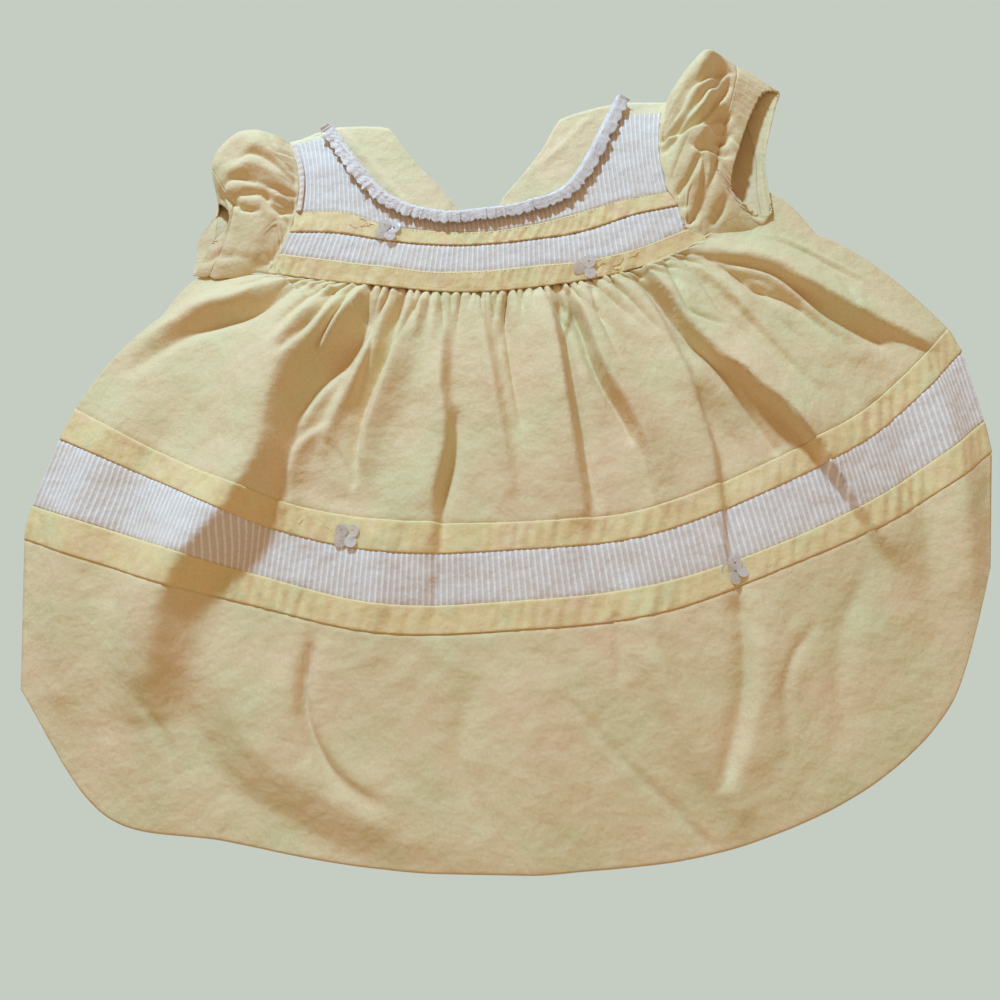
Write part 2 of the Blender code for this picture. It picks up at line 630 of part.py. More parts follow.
def build_skirt(parts):
    pieces = (
        ("skirt_front_upper", 0, 2, 0.0, GATHERED_COLUMNS, UPPER_SKIRT_ROWS, "yellow_cotton"),
        ("skirt_band_upper", 2, 3, BAND_RAISED, PANEL_COLUMNS, BAND_ROWS, "band_cotton"),
        ("skirt_insert", 3, 4, 0.0, PANEL_COLUMNS, BAND_ROWS, "tucked_voile"),
        ("skirt_band_lower", 4, 5, BAND_RAISED, PANEL_COLUMNS, BAND_ROWS, "band_cotton"),
        ("skirt_front_lower", 5, 6, 0.0, PANEL_COLUMNS, LOWER_SKIRT_ROWS, "yellow_cotton"),
    )
    for name, low, high, raised, columns, rows, finish in pieces:
        point = skirt_point(low, high, raised)
        cloth_panel(name, point, columns, rows, FRONT_WALL, finish, parts)
    cloth_panel("skirt_back", flat_back_skirt, BACK_COLUMNS, BACK_ROWS, BACK_WALL,
                "yellow_cotton", parts)


def build_bodice(parts):
    pieces = (
        ("yoke_band_lower", 0, 1, BAND_RAISED, BAND_ROWS, "band_cotton"),
        ("yoke_insert", 1, 2, 0.0, BAND_ROWS, "tucked_voile"),
        ("yoke_band_upper", 2, 3, BAND_RAISED, BAND_ROWS, "band_cotton"),
        ("yoke_upper", 3, 4, 0.0, YOKE_ROWS, "tucked_voile"),
    )
    for name, low, high, raised, rows, finish in pieces:
        point = yoke_point(low, high, raised)
        cloth_panel(name, point, YOKE_COLUMNS, rows, FRONT_WALL, finish, parts)
    halves = (("back_bodice_right", -1, BACK_RIGHT_TOP), ("back_bodice_left", 0, BACK_LEFT_TOP))
    for name, first, top in halves:
        point = flat_back_bodice(first, top)
        cloth_panel(name, point, BACK_COLUMNS // 2, BODICE_ROWS, BACK_WALL, "yellow_cotton", parts)


def build_sleeves(parts):
    sides = (("right", -1, RIGHT_SLEEVE, RIGHT_DENTS), ("left", 1, LEFT_SLEEVE, LEFT_DENTS))
    for word, side, sections, dents in sides:
        for name, low, high, rows in (
            ("sleeve_", 0.0, CUFF_START - CUFF_GAP / 2, SLEEVE_ROWS),
            ("cuff_", CUFF_START + CUFF_GAP / 2, 1.0, CUFF_ROWS),
        ):
            tube = sleeve_tube(side, sections, dents, low, high)
            cloth_tube(name + word, tube, SLEEVE_COLUMNS, rows, "yellow_cotton", parts)


def build_trims(parts):
    cloth_panel("lace_edging", lace_point, LACE_COLUMNS, LACE_ROWS, TRIM_WALL, "lace", parts)
    cloth_panel("armhole_piping_right", piping_point, PIPING_COLUMNS, PIPING_ROWS, TRIM_WALL,
                "piping", parts)
    for cluster in CLUSTERS:
        round_plate(cluster.name, cluster_point(cluster), CLUSTER_SECTORS, DISC_WALL,
                    "clear_sequin", parts)


def main():
    for old in list(bpy.data.objects):
        bpy.data.objects.remove(old)
    parts = bpy.data.collections.new("baby_dress")
    bpy.context.scene.collection.children.link(parts)
    build_skirt(parts)
    build_bodice(parts)
    build_sleeves(parts)
    build_trims(parts)


main()
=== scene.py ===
"""A baby's yoked cotton dress with puff sleeves, laid flat: the look of every piece and its stage.

The tables are in millimetres in the maker's frame: x runs from the wearer's right to left, y
from the hem towards the neck, and z up from the surface. ORIGIN is the part's origin in it.
"""

import functools
import math
from collections import namedtuple

import bpy
import numpy as np
from mathutils import Matrix, Vector


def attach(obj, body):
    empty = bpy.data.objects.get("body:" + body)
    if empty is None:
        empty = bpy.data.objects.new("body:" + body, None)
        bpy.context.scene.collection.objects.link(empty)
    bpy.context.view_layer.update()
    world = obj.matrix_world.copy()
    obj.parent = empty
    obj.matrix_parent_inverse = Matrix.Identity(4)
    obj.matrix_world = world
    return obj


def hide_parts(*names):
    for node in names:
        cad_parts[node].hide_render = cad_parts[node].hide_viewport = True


bl_info = {
    "name": "Baby dress laid flat",
    "version": (1, 0, 0),
    "blender": (4, 5, 0),
    "location": "3D View > Sidebar > Dress",
    "description": "Builds a yoked baby dress of cotton, tucked voile and lace, and its stage",
    "category": "Add Mesh",
}

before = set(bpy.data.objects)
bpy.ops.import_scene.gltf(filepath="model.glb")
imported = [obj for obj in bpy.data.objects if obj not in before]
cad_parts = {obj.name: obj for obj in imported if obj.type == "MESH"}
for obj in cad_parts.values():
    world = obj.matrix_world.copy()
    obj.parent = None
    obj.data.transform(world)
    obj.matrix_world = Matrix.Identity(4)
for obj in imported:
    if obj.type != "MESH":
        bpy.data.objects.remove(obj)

MM = 0.001
TINY = 1e-6
ORIGIN = (3.0, -127.8)

# Lie of the cloth: the back's top, the front's lowest lie and how softly it comes to rest there.
BACK_TOP = 0.7
FRONT_LOW = 1.5
SOFTNESS = 1.0
# How high the bands lie, and how deep they pucker.
BAND_RAISED = 0.35
BAND_PUCKER = 0.5
# A panel's edge reaches and sinks under its neighbour, or ends short of a seam and rolls over.
UNDER_REACH = 0.8
UNDER_DROP = 0.5
SEAM_GAP = 0.12
EDGE_ROLL = 0.3
EDGE_ROLL_WIDE = 0.7
# How much closer a panel's rows lie at its edges, and the step in line numbers that measures them.
EDGE_CROWDING = 0.4
PLAN_STEP = 0.2
# Lowest part of a tuck's wave, where the voile lies flat.
TUCK_GROUND = -0.2

# A fold or crease has its width on the left and on the right of its path, then the path as
# (x, y, height); a hollow's height is negative.
Fold = namedtuple("Fold", "left right path")


def fold(left, right, *path):
    return Fold(left, right, path)


# Its height falls off to the sides; below 2 the crests and hollows are crisper than a bell's.
FOLD_SHAPE = 1.7
# A fold ends at this many widths, and its width turns this sharply over its path.
FOLD_REACH = 3.0
FOLD_TURN = 0.8
# Distance below the waist seam at which a fold has its whole height.
FOLD_START = 7.0

# Skirt lines from waist to hem, at nine even stations from the right side seam to the left.
SKIRT_LINES = {
    "waist": ((-104, -29.3), (-77, -36), (-49, -42), (-22, -48), (6, -51),
              (33, -51), (61, -49), (88, -44), (116, -34.3)),
    "flare": ((-158, -45), (-115, -62), (-68, -82), (-31, -92), (5, -95),
              (42, -94), (82, -84), (125, -62), (169, -35)),
    "upper_band_top": ((-201, -90), (-154, -119), (-104, -145), (-51, -160), (5, -166),
                       (65, -166), (123, -150), (176, -127), (222, -91)),
    "insert_top": ((-208, -105), (-157, -132), (-107, -158), (-52, -175), (5, -179),
                   (66, -178), (125, -162), (179, -139), (226, -103)),
    "insert_bottom": ((-220, -137), (-165, -159), (-111, -180), (-55, -198), (5, -202),
                      (68, -200), (128, -186), (182, -165), (229, -138)),
    "lower_band_bottom": ((-223, -153), (-168, -175), (-113, -194), (-56, -211), (5, -215),
                          (68, -213), (128, -197), (183, -178), (229, -153)),
    "hem": ((-221, -222), (-181, -278), (-128, -293), (-63, -309), (5, -315),
            (74, -314), (139, -296), (187, -262), (217, -205)),
}
# Height of each skirt line above the lowest lie of the front, away from folds.
SKIRT_LOFT = (5.0, 4.8, 4.6, 4.6, 4.6, 4.6, 1.9)

# Yoke lines from waist to band top, at the same nine stations between the armholes.
YOKE_LINES = {
    "waist": ((-104, -29), (-77, -36), (-49, -42), (-22, -48), (6, -51),
              (33, -51), (61, -49), (88, -44), (116, -34)),
    "insert_bottom": ((-97, -20), (-72, -26), (-46, -32), (-21, -38), (5, -40),
                      (30, -40), (55, -40), (81, -36), (106, -28)),
    "insert_top": ((-91, -9), (-67, -12), (-42, -19), (-18, -24), (6, -26),
                   (31, -26), (55, -24), (80, -18), (104, -15)),
    "band_top": ((-88, 2), (-65, 0), (-41, -11), (-18, -16), (6, -19),
                 (30, -18), (53, -14), (77, -9), (100, -7)),
}
FRONT_TOP = ((-91, 45), (-66, 49), (-43, 12), (-18, -4), (5, -6),
             (29, -4), (52, 8), (78, 49), (105, 46))
NECK_BULGE = 1.8
NECK_SHARE = 0.75
ARMHOLE_HOLLOW = 3.5
BACK_RIGHT_TOP = ((-91, 47), (-78, 52), (-65, 54), (-52, 53), (-39, 50), (-30, 34), (-21, 21),
                  (-10, 5), (4, -16))
BACK_LEFT_TOP = ((6, -16), (17, 3), (28, 15), (39, 28), (50, 45), (64, 49), (77, 51), (91, 51),
                 (105, 49))
# Folded edges of the facing inside the back, as creases.
BACK_CREASES = (
    fold(4, 0.8, (-66, 54, 0.4), (-56, 41, 0.9), (-45, 24, 1), (-33, 6, 0.6)),
    fold(3, 0.8, (38, 22, 0.3), (47, 28, 0.8), (58, 38, 0.8), (68, 48, 0.4)),
)
# How high the back bodice lies over the surface, and how uneven it is.
BACK_RAISED = 0.3
BACK_LOFT = 0.25
# First and last line that the skirt's back reaches, and half of the placket's gap.
BACK_LINES = (0.02, 5.99)
PLACKET_SHARE = 0.01
# Where the yoke's lines come along the armhole and up the back.
ARMHOLE_KNOTS = (0, 0.62, 0.76, 0.86, 1)
BODICE_KNOTS = (0, 0.2, 0.3, 0.4, 1)
# How far a sleeve starts out from the armhole and up from the underarm.
ARMHOLE_GAP = 0.18
UNDERARM_RISE = 1.2
# How far the right and the left sleeve lap over the yoke at the armhole.
ARMHOLE_LAP = (0.3, 1.8)
# Height of the armhole's back, and the lowest that a sleeve lies.
ARMHOLE_BACK = 0.9
SLEEVE_LOW = 0.3
# Height of the yoke, and how far it sinks at its waist's ends and at the shoulders.
YOKE_LOFT = 6.2
SEAM_END_DROP = 2.2
SHOULDER_DROP = 2.4
SHOULDER_START = 22.0
SHOULDER_RUN = 26.0
# Plain strip along the right and the left shoulder.
SHOULDER_STRIP = (2.4, 6.8)

# Folds and creases of the skirt, from waist to hem.
FOLDS = (
    # The wearer's right side, down to the hem.
    fold(9, 5, (-93, -35, 2), (-105, -39, 5), (-120, -43, 7), (-138, -45, 7), (-156, -52, 6),
         (-172, -60, 4)),
    fold(4, 3.5, (-86, -39, -2), (-93, -44, -3.5), (-103, -50, -4.8), (-114, -53, -4.8),
         (-128, -54, -4.8), (-142, -57, -4), (-156, -63, -3), (-172, -72, -2)),
    fold(1.6, 1.6, (-103, -34, -1), (-111, -35, -2), (-119, -36, -1)),
    fold(25, 11, (-60, -46, 2), (-66, -49, 6), (-72, -57, 12), (-81, -64, 16), (-89, -75, 19),
         (-94, -86, 20), (-98, -98, 20), (-101, -111, 20), (-104, -124, 20), (-111, -138, 20),
         (-123, -153, 19), (-138, -168, 18), (-148, -185, 17), (-153, -203, 15), (-156, -219, 11),
         (-157, -232, 5), (-156, -243, 1.5)),
    fold(2.2, 4, (-57, -45, 3), (-61, -52, 6), (-65, -60, 7), (-71, -69, 6.5), (-76, -76, 2)),
    fold(1.6, 1.6, (-63, -45, -1.5), (-66, -53, -3), (-70, -60, -4), (-75, -68, -3.5),
         (-79, -74, -2)),
    fold(2.6, 2.2, (-66, -42, -1), (-71, -48, -3), (-76, -59, -4), (-84, -69, -3.5),
         (-92, -78, -2)),
    fold(2, 2, (-77, -42, -1.5), (-84, -51, -2), (-92, -61, -1.5), (-99, -70, -0.6)),
    fold(2, 3, (-72, -43, 1.5), (-80, -54, 2), (-88, -65, 1.6), (-96, -74, 0.6)),
    fold(8, 4, (-53, -48, -2), (-56, -60, -4), (-62, -72, -4.8), (-72, -84, -4.8),
         (-82, -96, -4.8), (-90, -110, -4.5), (-94, -126, -4), (-98, -142, -3)),
    fold(3, 3, (-68, -88, 1.5), (-76, -96, 3), (-83, -105, 3), (-87, -112, 1.5)),
    fold(1.6, 3.5, (-78, -114, 1.5), (-85, -118, 2.5), (-90, -124, 2.5), (-93, -134, 1.5)),
    fold(3.5, 4, (-48, -50, 2.5), (-50, -62, 5), (-54, -74, 6), (-60, -86, 6), (-66, -98, 5),
         (-73, -109, 3.5), (-78, -123, 2)),
    fold(1.2, 1.4, (-44, -47, -1.5), (-48, -55, -2.5), (-51, -64, -2.5), (-54, -77, -2.2),
         (-58, -89, -1.6), (-62, -101, -1)),
    fold(4.5, 1.5, (-36, -50, -2), (-39, -61, -4), (-43, -71, -4.8), (-46, -79, -4.8),
         (-52, -92, -4.8), (-58, -106, -4), (-62, -122, -3), (-64, -139, -1.5)),
    fold(1.8, 9, (-33, -48, 2.5), (-36, -60, 5.5), (-40, -72, 7), (-44, -85, 7), (-50, -99, 6),
         (-56, -113, 5), (-60, -128, 3)),
    fold(2, 2.2, (-26, -49, 1.5), (-28, -58, 2.2), (-31, -70, 1.2)),
    fold(1.8, 2, (-21, -51, 1.5), (-22, -60, 1.8), (-23, -72, 0.8)),
    fold(7, 7, (-84, -142, -1.2), (-72, -148, -1.6), (-58, -152, -1.2)),
    fold(1.2, 1.8, (-78, -120, -0.8), (-70, -130, -1.2), (-66, -142, -0.8)),
    fold(10, 10, (-150, -98, -1), (-168, -130, -3), (-178, -180, -4), (-180, -240, -2)),
    fold(12, 12, (-172, -82, 1), (-192, -122, 5), (-202, -170, 7), (-201, -222, 4)),
    fold(12, 2, (-90, -213, 2), (-93, -226, 4.5), (-94, -238, 5.5), (-92, -250, 4),
         (-87, -262, 2)),
    fold(5, 2.2, (-87, -217, -2), (-90, -228, -4), (-91, -239, -4.5), (-89, -250, -4.5),
         (-84, -261, -3.5), (-76, -272, -2.5), (-64, -281, -1.2)),
    fold(1.6, 10, (-83, -217, 1.5), (-86, -229, 3), (-87, -239, 3), (-85, -250, 3),
         (-80, -261, 2.4), (-71, -271, 1.5), (-59, -279, 0.8)),
    fold(9, 6, (-146, -226, -1.5), (-141, -245, -2.5), (-130, -265, -3), (-114, -280, -3),
         (-95, -291, -3), (-76, -302, -2.5), (-60, -309, -1.5)),
    fold(9, 16, (-128, -212, 2.5), (-126, -230, 4), (-117, -249, 4.5), (-103, -265, 4.5),
         (-85, -276, 4), (-66, -287, 3.5), (-46, -298, 2.5), (-26, -303, 1)),
    fold(1.5, 2.5, (-163, -231, -1), (-157, -243, -2), (-153, -254, -2), (-151, -264, -1)),
    # The middle.
    fold(13, 3, (-16, -59, 1), (-18, -73, 4), (-20, -89, 6.5), (-21, -100, 7.5), (-20, -113, 8),
         (-21, -124, 7), (-24, -136, 6.5), (-28, -148, 6), (-29, -160, 5), (-29, -172, 4),
         (-29, -182, 2.5)),
    fold(3, 3, (-15, -114, -2), (-16, -125, -3), (-18, -136, -3), (-23, -151, -3),
         (-26, -167, -2.5), (-29, -182, -2), (-30, -198, -1.5), (-32, -212, -1)),
    fold(11, 9, (-48, -153, 2), (-52, -167, 3), (-55, -184, 3), (-58, -201, 2.5),
         (-60, -216, 1.5)),
    fold(7, 4, (-14, -236, -1), (-21, -251, -2.5), (-24, -264, -2.5), (-23, -276, -2),
         (-17, -288, -1)),
    fold(6, 3, (1, -56, 2), (2, -75, 4.5), (4, -100, 5), (6, -125, 4), (8, -148, 1.5)),
    fold(1.5, 4, (13, -55, -2), (12, -72, -3.5), (13, -96, -3), (15, -118, -1.5)),
    fold(20, 20, (5, -225, 1), (5, -255, 4), (5, -285, 5), (5, -315, 5.5)),
    fold(14, 2.6, (32, -54, 3), (34, -65, 7), (35, -77, 9.5), (36, -92, 10.5), (37, -112, 10.5),
         (38, -130, 9.5), (39, -147, 7), (40, -161, 4)),
    fold(1.2, 3, (38, -62, -2), (40, -77, -3.5), (41, -92, -4), (42, -112, -4), (43, -130, -4),
         (44, -147, -3), (45, -161, -1)),
    fold(1.5, 1.5, (41, -55, 2), (43, -64, 3), (41, -72, 2.5), (39, -79, 1)),
    fold(3, 1.2, (45, -56, -2), (46, -64, -4), (49, -75, -5), (51, -89, -5.5), (55, -103, -5.5),
         (61, -117, -5), (66, -131, -3)),
    fold(1.5, 14, (47.5, -57, 3), (50, -67, 7), (52.5, -79, 9), (55, -91, 9.5), (59, -103, 9.5),
         (65, -116, 9), (70, -129, 7), (73, -143, 5), (74, -157, 3)),
    fold(1.2, 1.6, (55, -55, -1.5), (57, -70, -2.2), (60, -83, -1.8), (64, -95, -0.8)),
    fold(1.2, 1.6, (66, -53, -1.5), (72, -61, -2), (78, -71, -1.6), (85, -82, -0.6)),
    fold(6, 4, (54, -118, -1), (58, -128, -2), (60, -140, -1)),
    # The wearer's left side.
    fold(13, 2.4, (72, -50, 1), (78, -58, 3), (84, -71, 4.5), (89, -88, 5), (94, -105, 5.5),
         (98, -122, 6.5), (101, -140, 5.5), (101, -156, 4), (101, -169, 3), (100, -182, 2.6),
         (100, -194, 2.3), (101, -206, 2.2), (102, -224, 2), (101, -241, 1.5)),
    fold(16, 16, (103, -106, 3.5), (116, -113, 3.5)),
    fold(2.5, 8, (99, -118, -2), (104, -132, -2.6), (106, -146, -2.4), (105, -162, -2.2),
         (104, -177, -2), (103, -192, -2), (105, -205, -1.8), (106, -221, -1.5)),
    fold(1.1, 18, (83, -48, 6), (87, -57, 8.5), (92, -66, 9.5), (97, -78, 9.5), (104, -89, 9.5),
         (110, -99, 10), (119, -107, 11), (126, -117, 12), (134, -125, 13), (141, -134, 13),
         (147, -144, 10.5), (152, -154, 9), (157, -163, 7.5), (162, -175, 6), (168, -188, 5)),
    fold(12, 8, (103, -120, -2.5), (111, -134, -3.5), (118, -148, -2.5)),
    fold(3.5, 2, (79, -52, -3), (85, -61, -5.5), (92, -73, -5.5), (100, -88, -5), (108, -99, -4.5),
         (114, -109, -4.2), (120, -121, -4), (131, -143, -3.5)),
    fold(1.2, 1.6, (92, -46, -2), (94, -54, -2.6), (96, -64, -2.8), (99, -74, -2.6),
         (106, -79, -2), (114, -82, -0.8)),
    fold(1.4, 2.6, (99, -43, -1.5), (103, -48, -2.6), (109, -58, -3), (113, -69, -3),
         (120, -81, -2.6), (128, -91, -2), (138, -103, -1.2), (146, -115, -0.6)),
    fold(1.8, 7, (108, -46, 1.5), (115, -57, 3.5), (126, -73, 4), (139, -93, 3), (152, -112, 1.5)),
    fold(1.1, 1.5, (103, -42, -1.2), (112, -50, -2), (119, -58, -1.6), (124, -66, -0.6)),
    fold(1, 2.4, (142, -80, -0.8), (149, -88, -1.6), (156, -98, -1.8), (162, -109, -1.8),
         (168, -122, -1)),
    fold(3, 1.5, (121, -50, -1.5), (126, -54, -3.5), (131, -60, -3.8), (137, -64, -3)),
    fold(3, 1.5, (135, -63, -2), (143, -67, -3), (152, -72, -3), (160, -81, -2.6), (169, -89, -2),
         (177, -95, -1)),
    fold(1.8, 4, (118, -46, 1), (128, -52, 3.5), (138, -56, 4.5), (148, -64, 5), (155, -72, 5),
         (162, -82, 4), (172, -92, 2)),
    fold(1.8, 14, (112, -41, 2), (118, -43, 4), (132, -48, 6.5), (144, -54, 8), (153, -61, 8.5),
         (162, -67, 8.5), (172, -75, 8.5), (184, -84, 8), (203, -97, 6)),
    fold(4.5, 2, (117, -43, -2), (125, -47, -3.5), (134, -50, -4.5), (145, -56, -4.8),
         (153, -64, -4.8), (161, -73, -4.8), (172, -83, -4.8), (188, -94, -4)),
    fold(1.3, 1.3, (148, -36, 0.8), (160, -42, 1.8), (170, -50, 1.8), (183, -59, 1.8),
         (192, -67, 1)),
    fold(1.3, 1.6, (150, -40, -0.8), (161, -46, -1.5), (171, -54, -1.5), (183, -63, -1)),
    fold(1.2, 1.6, (174, -63, -0.8), (176, -69, -1.4), (177, -76, -0.8)),
    fold(10, 10, (184, -110, -2), (192, -145, -4), (193, -185, -4), (188, -235, -2)),
    fold(10, 12, (192, -80, 1), (207, -118, 6), (211, -165, 7), (206, -208, 4)),
    fold(1.2, 1.8, (25, -247, -0.6), (42, -270, -1.6), (60, -290, -2), (77, -310, -2.2)),
    fold(5, 1.5, (103, -214, -3), (104, -233, -4.5), (100, -256, -4.5), (91, -277, -3.5),
         (86, -286, -1.5)),
    fold(3.5, 12, (109, -214, 2), (110, -233, 3), (106, -256, 3), (97, -277, 2.5),
         (91, -290, 1.2)),
    fold(9, 6, (60, -209, 3), (65, -235, 5.5), (73, -258, 6), (82, -280, 5), (90, -296, 3)),
    fold(1.5, 2.5, (135, -223, -1), (124, -235, -1.8), (117, -250, -1.8), (117, -266, -1)),
    fold(1.2, 1.8, (49, -213, -1.5), (49, -226, -2), (47, -241, -0.8)),
    fold(5, 5, (162, -203, -1), (149, -223, -2), (142, -246, -2), (140, -272, -1)),
    # Short creases of the bands.
    fold(0.8, 1, (-147, -141, -0.4), (-142, -138, -0.7), (-138, -136, -0.4)),
    fold(0.8, 1, (-134, -139, -0.4), (-131, -137, -0.6), (-128, -137, -0.3)),
    fold(0.8, 1, (-146, -174, -0.5), (-147, -178, -0.7), (-148, -182, -0.4)),
    fold(0.8, 1, (-98, -190, -0.6), (-98, -193, -0.7), (-97, -197, -0.4)),
    fold(0.8, 1, (-91, -192, -0.6), (-92, -196, -0.8), (-93, -201, -0.4)),
    fold(0.9, 1, (-20, -202, -0.7), (-20, -207, -0.9), (-19, -213, -0.5)),
    fold(0.9, 1, (39, -201, -0.7), (41, -207, -0.9), (42, -212, -0.4)),
    fold(0.9, 1, (52, -166, -0.8), (49, -173, -0.9), (47, -179, -0.5)),
    fold(0.9, 1, (28, -167, -0.7), (27, -173, -0.8), (28, -179, -0.4)),
)

# Gathers below the waist seam: (place across the seam, depth, how far down it runs).
WAIST_GATHERS = (
    (-99, 1.0, 8), (-94, 1.5, 16), (-88, 1.7, 14), (-83, 1.3, 22), (-78, 1.8, 12), (-73, 1.6, 20),
    (-68, 2.0, 26), (-63, 2.4, 30), (-58, 1.4, 12), (-52, 2.6, 20), (-47, 2.0, 28), (-43, 2.4, 36),
    (-39, 1.4, 14), (-35, 2.4, 24), (-31, 1.6, 12), (-27, 2.2, 26), (-23, 1.7, 12), (-18, 1.8, 22),
    (-13, 1.4, 12), (-8, 1.8, 18), (-3, 1.2, 9), (1, 2.1, 22), (6, 1.4, 12), (10, 1.4, 18),
    (15, 2.4, 24), (19, 1.6, 9), (23, 1.8, 14), (28, 1.4, 12), (32, 1.8, 24), (37, 2.4, 30),
    (41, 2.2, 14), (45, 2.6, 32), (49, 1.4, 9), (53, 1.3, 16), (56, 2.2, 28), (60, 1.3, 9),
    (65, 2.0, 20), (69, 1.4, 14), (74, 2.2, 24), (79, 2.4, 16), (84, 1.8, 14), (89, 2.0, 28),
    (94, 2.2, 26), (99, 1.4, 18), (104, 2.0, 28), (110, 1.4, 12),
)
# How wide and deep they are, how crisp, and how far they lean.
GATHER_WIDE = 1.35
GATHER_DEPTH = 1.4
GATHER_SHAPE = 1.5
GATHER_LEAN = 0.22
# A gather is twice as wide this far down.
GATHER_FAN = 16.0
# Height of the puffs between them, and how far down these run.
GATHER_PUFF = 0.5
PUFF_LENGTH = 11.0
# The finest gathers, between the others and right under the seam.
FINE_GATHER_PITCH = 2.8
FINE_GATHER_HEIGHT = 0.46
FINE_GATHER_LENGTH = 8.0
# How far each side of the skirt swells up beside its sleeve.
SIDE_SWELL = (10.0, 19.0)

# Sleeve sections from the armhole outwards: a top end, three places down the front, a low end
# and the middle of the back, as (x, y, z).
Section = namedtuple("Section", "top upper middle lower low back")
RIGHT_SLEEVE = (
    Section((-98, 46, 10), (-95, 33, 16), (-93, 15, 14), (-98, -6, 9), (-110, -27, 4),
            (-99, 8, 0.7)),
    Section((-108, 48, 12.5), (-103, 36, 18), (-100, 14, 14.5), (-107, -13, 9),
            (-118, -29, 4.5), (-108, 8, 0.7)),
    Section((-119, 44, 13.5), (-113, 34, 18.2), (-109, 13, 15), (-115, -14, 9.2),
            (-126, -29, 4.8), (-118, 6, 0.7)),
    Section((-129, 31, 12.5), (-124, 22, 16.5), (-118, 6, 14), (-123, -13, 9.2),
            (-133, -28.5, 4.5), (-130, 2, 0.9)),
    Section((-128, 12, 6), (-122, 5, 8.5), (-122, -4, 9.2), (-131, -11, 7.8), (-142, -25, 3.5),
            (-140, -4, 1.8)),
)
LEFT_SLEEVE = (
    Section((108, 48, 10), (105, 37, 19), (106, 15, 17), (108, -11, 11.5), (119, -34, 3.5),
            (112, 8, 0.7)),
    Section((116, 55, 13), (112, 43, 27), (111, 20, 25), (112, -7, 17), (126, -33.5, 4.5),
            (122, 12, 0.7)),
    Section((126, 60, 16), (121, 46, 33), (118, 21, 28), (117, -6, 19), (134, -33, 5),
            (134, 15, 0.7)),
    Section((139, 59, 13), (136, 46, 20), (128, 21, 18), (122, -6, 16), (141, -31, 5),
            (145, 12, 4)),
    Section((162, 43, 7), (151, 39, 11.5), (137, 14, 13.5), (129, -12, 11), (147, -24, 6),
            (150, 9, 6.5)),
)
# Share of a sleeve's length at which its casing ends and the cuff starts.
CUFF_START = 0.82
# How much the pleats stand out across the dress rather than up and along it.
PUFF_LEAN = 0.25
# Pleats round a sleeve, and how high they stand at its head, its casing and its rim.
SLEEVE_GATHERS = 30
HEAD_RISE = 0.8
CUFF_RISE = 0.4
RIM_RUFFLE = 0.8
# Share of that height at the right casing, which is pulled smooth.
RIGHT_CASING_EASE = 0.3
# Unevenness of the pleats' places, strength and length, as waves.
PLEAT_DRIFT = ((1.5, 2, 0.5), (0.9, 5, 1), (0.45, 11, 0))
PLEAT_STRENGTH = ((0.3, 2.1, 0), (0.2, 5.3, 0))
PLEAT_REACH = ((0.12, 2.1, 0), (0.06, 4.7, 0))
# Depth and width, as a share of the sleeve, of the casing's pinch and of its seam.
CASING_SEAMS = ((1.3, 0.05), (0.5, 0.012))
# Creases down the fronts of the sleeves.
RIGHT_CREASES = (
    fold(1.8, 2.4, (-114, 28, -0.6), (-110, 31, -1.8), (-106, 31, -2.4), (-100, 28, -2.4),
         (-94, 23, -2.2), (-88, 18, -1.5)),
    fold(3, 4, (-117, 23, 0.8), (-109, 25, 1.4), (-102, 23, 1.4), (-95, 18, 0.8)),
    fold(1.6, 1.6, (-99, 42, -0.8), (-96, 35, -1.4), (-93, 29, -1.6), (-90, 25, -1.6),
         (-87, 22, -1.2)),
    fold(1.6, 1.6, (-104, 16, -0.6), (-98, 13, -1.6), (-93, 11, -2), (-88, 10, -1.4)),
    fold(1.6, 1.8, (-101, 9, -0.8), (-95, 6, -1.4), (-89, 5, -1.4)),
    fold(2, 2.4, (-122, 17, -1), (-118, 19, -2.2), (-113, 19, -2.6), (-107, 17, -1.6)),
    fold(1.8, 2.2, (-115, 10, -1.4), (-111, 11, -2.6), (-106, 11, -2.6), (-102, 9, -1.2)),
    fold(1.6, 2.6, (-102, 10, -1.6), (-100, 5, -2.4), (-96, 2, -3.2), (-91, 2, -3),
         (-87, 3, -1.5)),
    fold(1.8, 2.2, (-125, 14, -2), (-121, 11, -3.4), (-117, 7, -3.4), (-114, 4, -2)),
    fold(1.5, 1.5, (-114, 4, -1.4), (-110, 2.5, -2), (-106, 2, -1)),
    fold(1.6, 1.8, (-96, 0, -1.2), (-93, -4, -2), (-91, -9, -1.6)),
    fold(1.6, 3, (-108, -25, -0.8), (-101, -21, -1.6), (-96, -16, -2), (-93, -10, -1.2)),
    fold(3, 3, (-135, -20, -0.8), (-124, -19.5, -1.4), (-113, -21, -1)),
    fold(6, 6, (-110, 39, -1), (-116, 31, -1.4), (-121, 24, -1)),
    fold(5, 5, (-101, 43, 0.6), (-106, 38, 0.8), (-110, 34, 0.4)),
    fold(9, 5, (-106, -18, 1), (-114, -20, 2), (-124, -21.5, 1.8), (-131, -23, 1)),
)
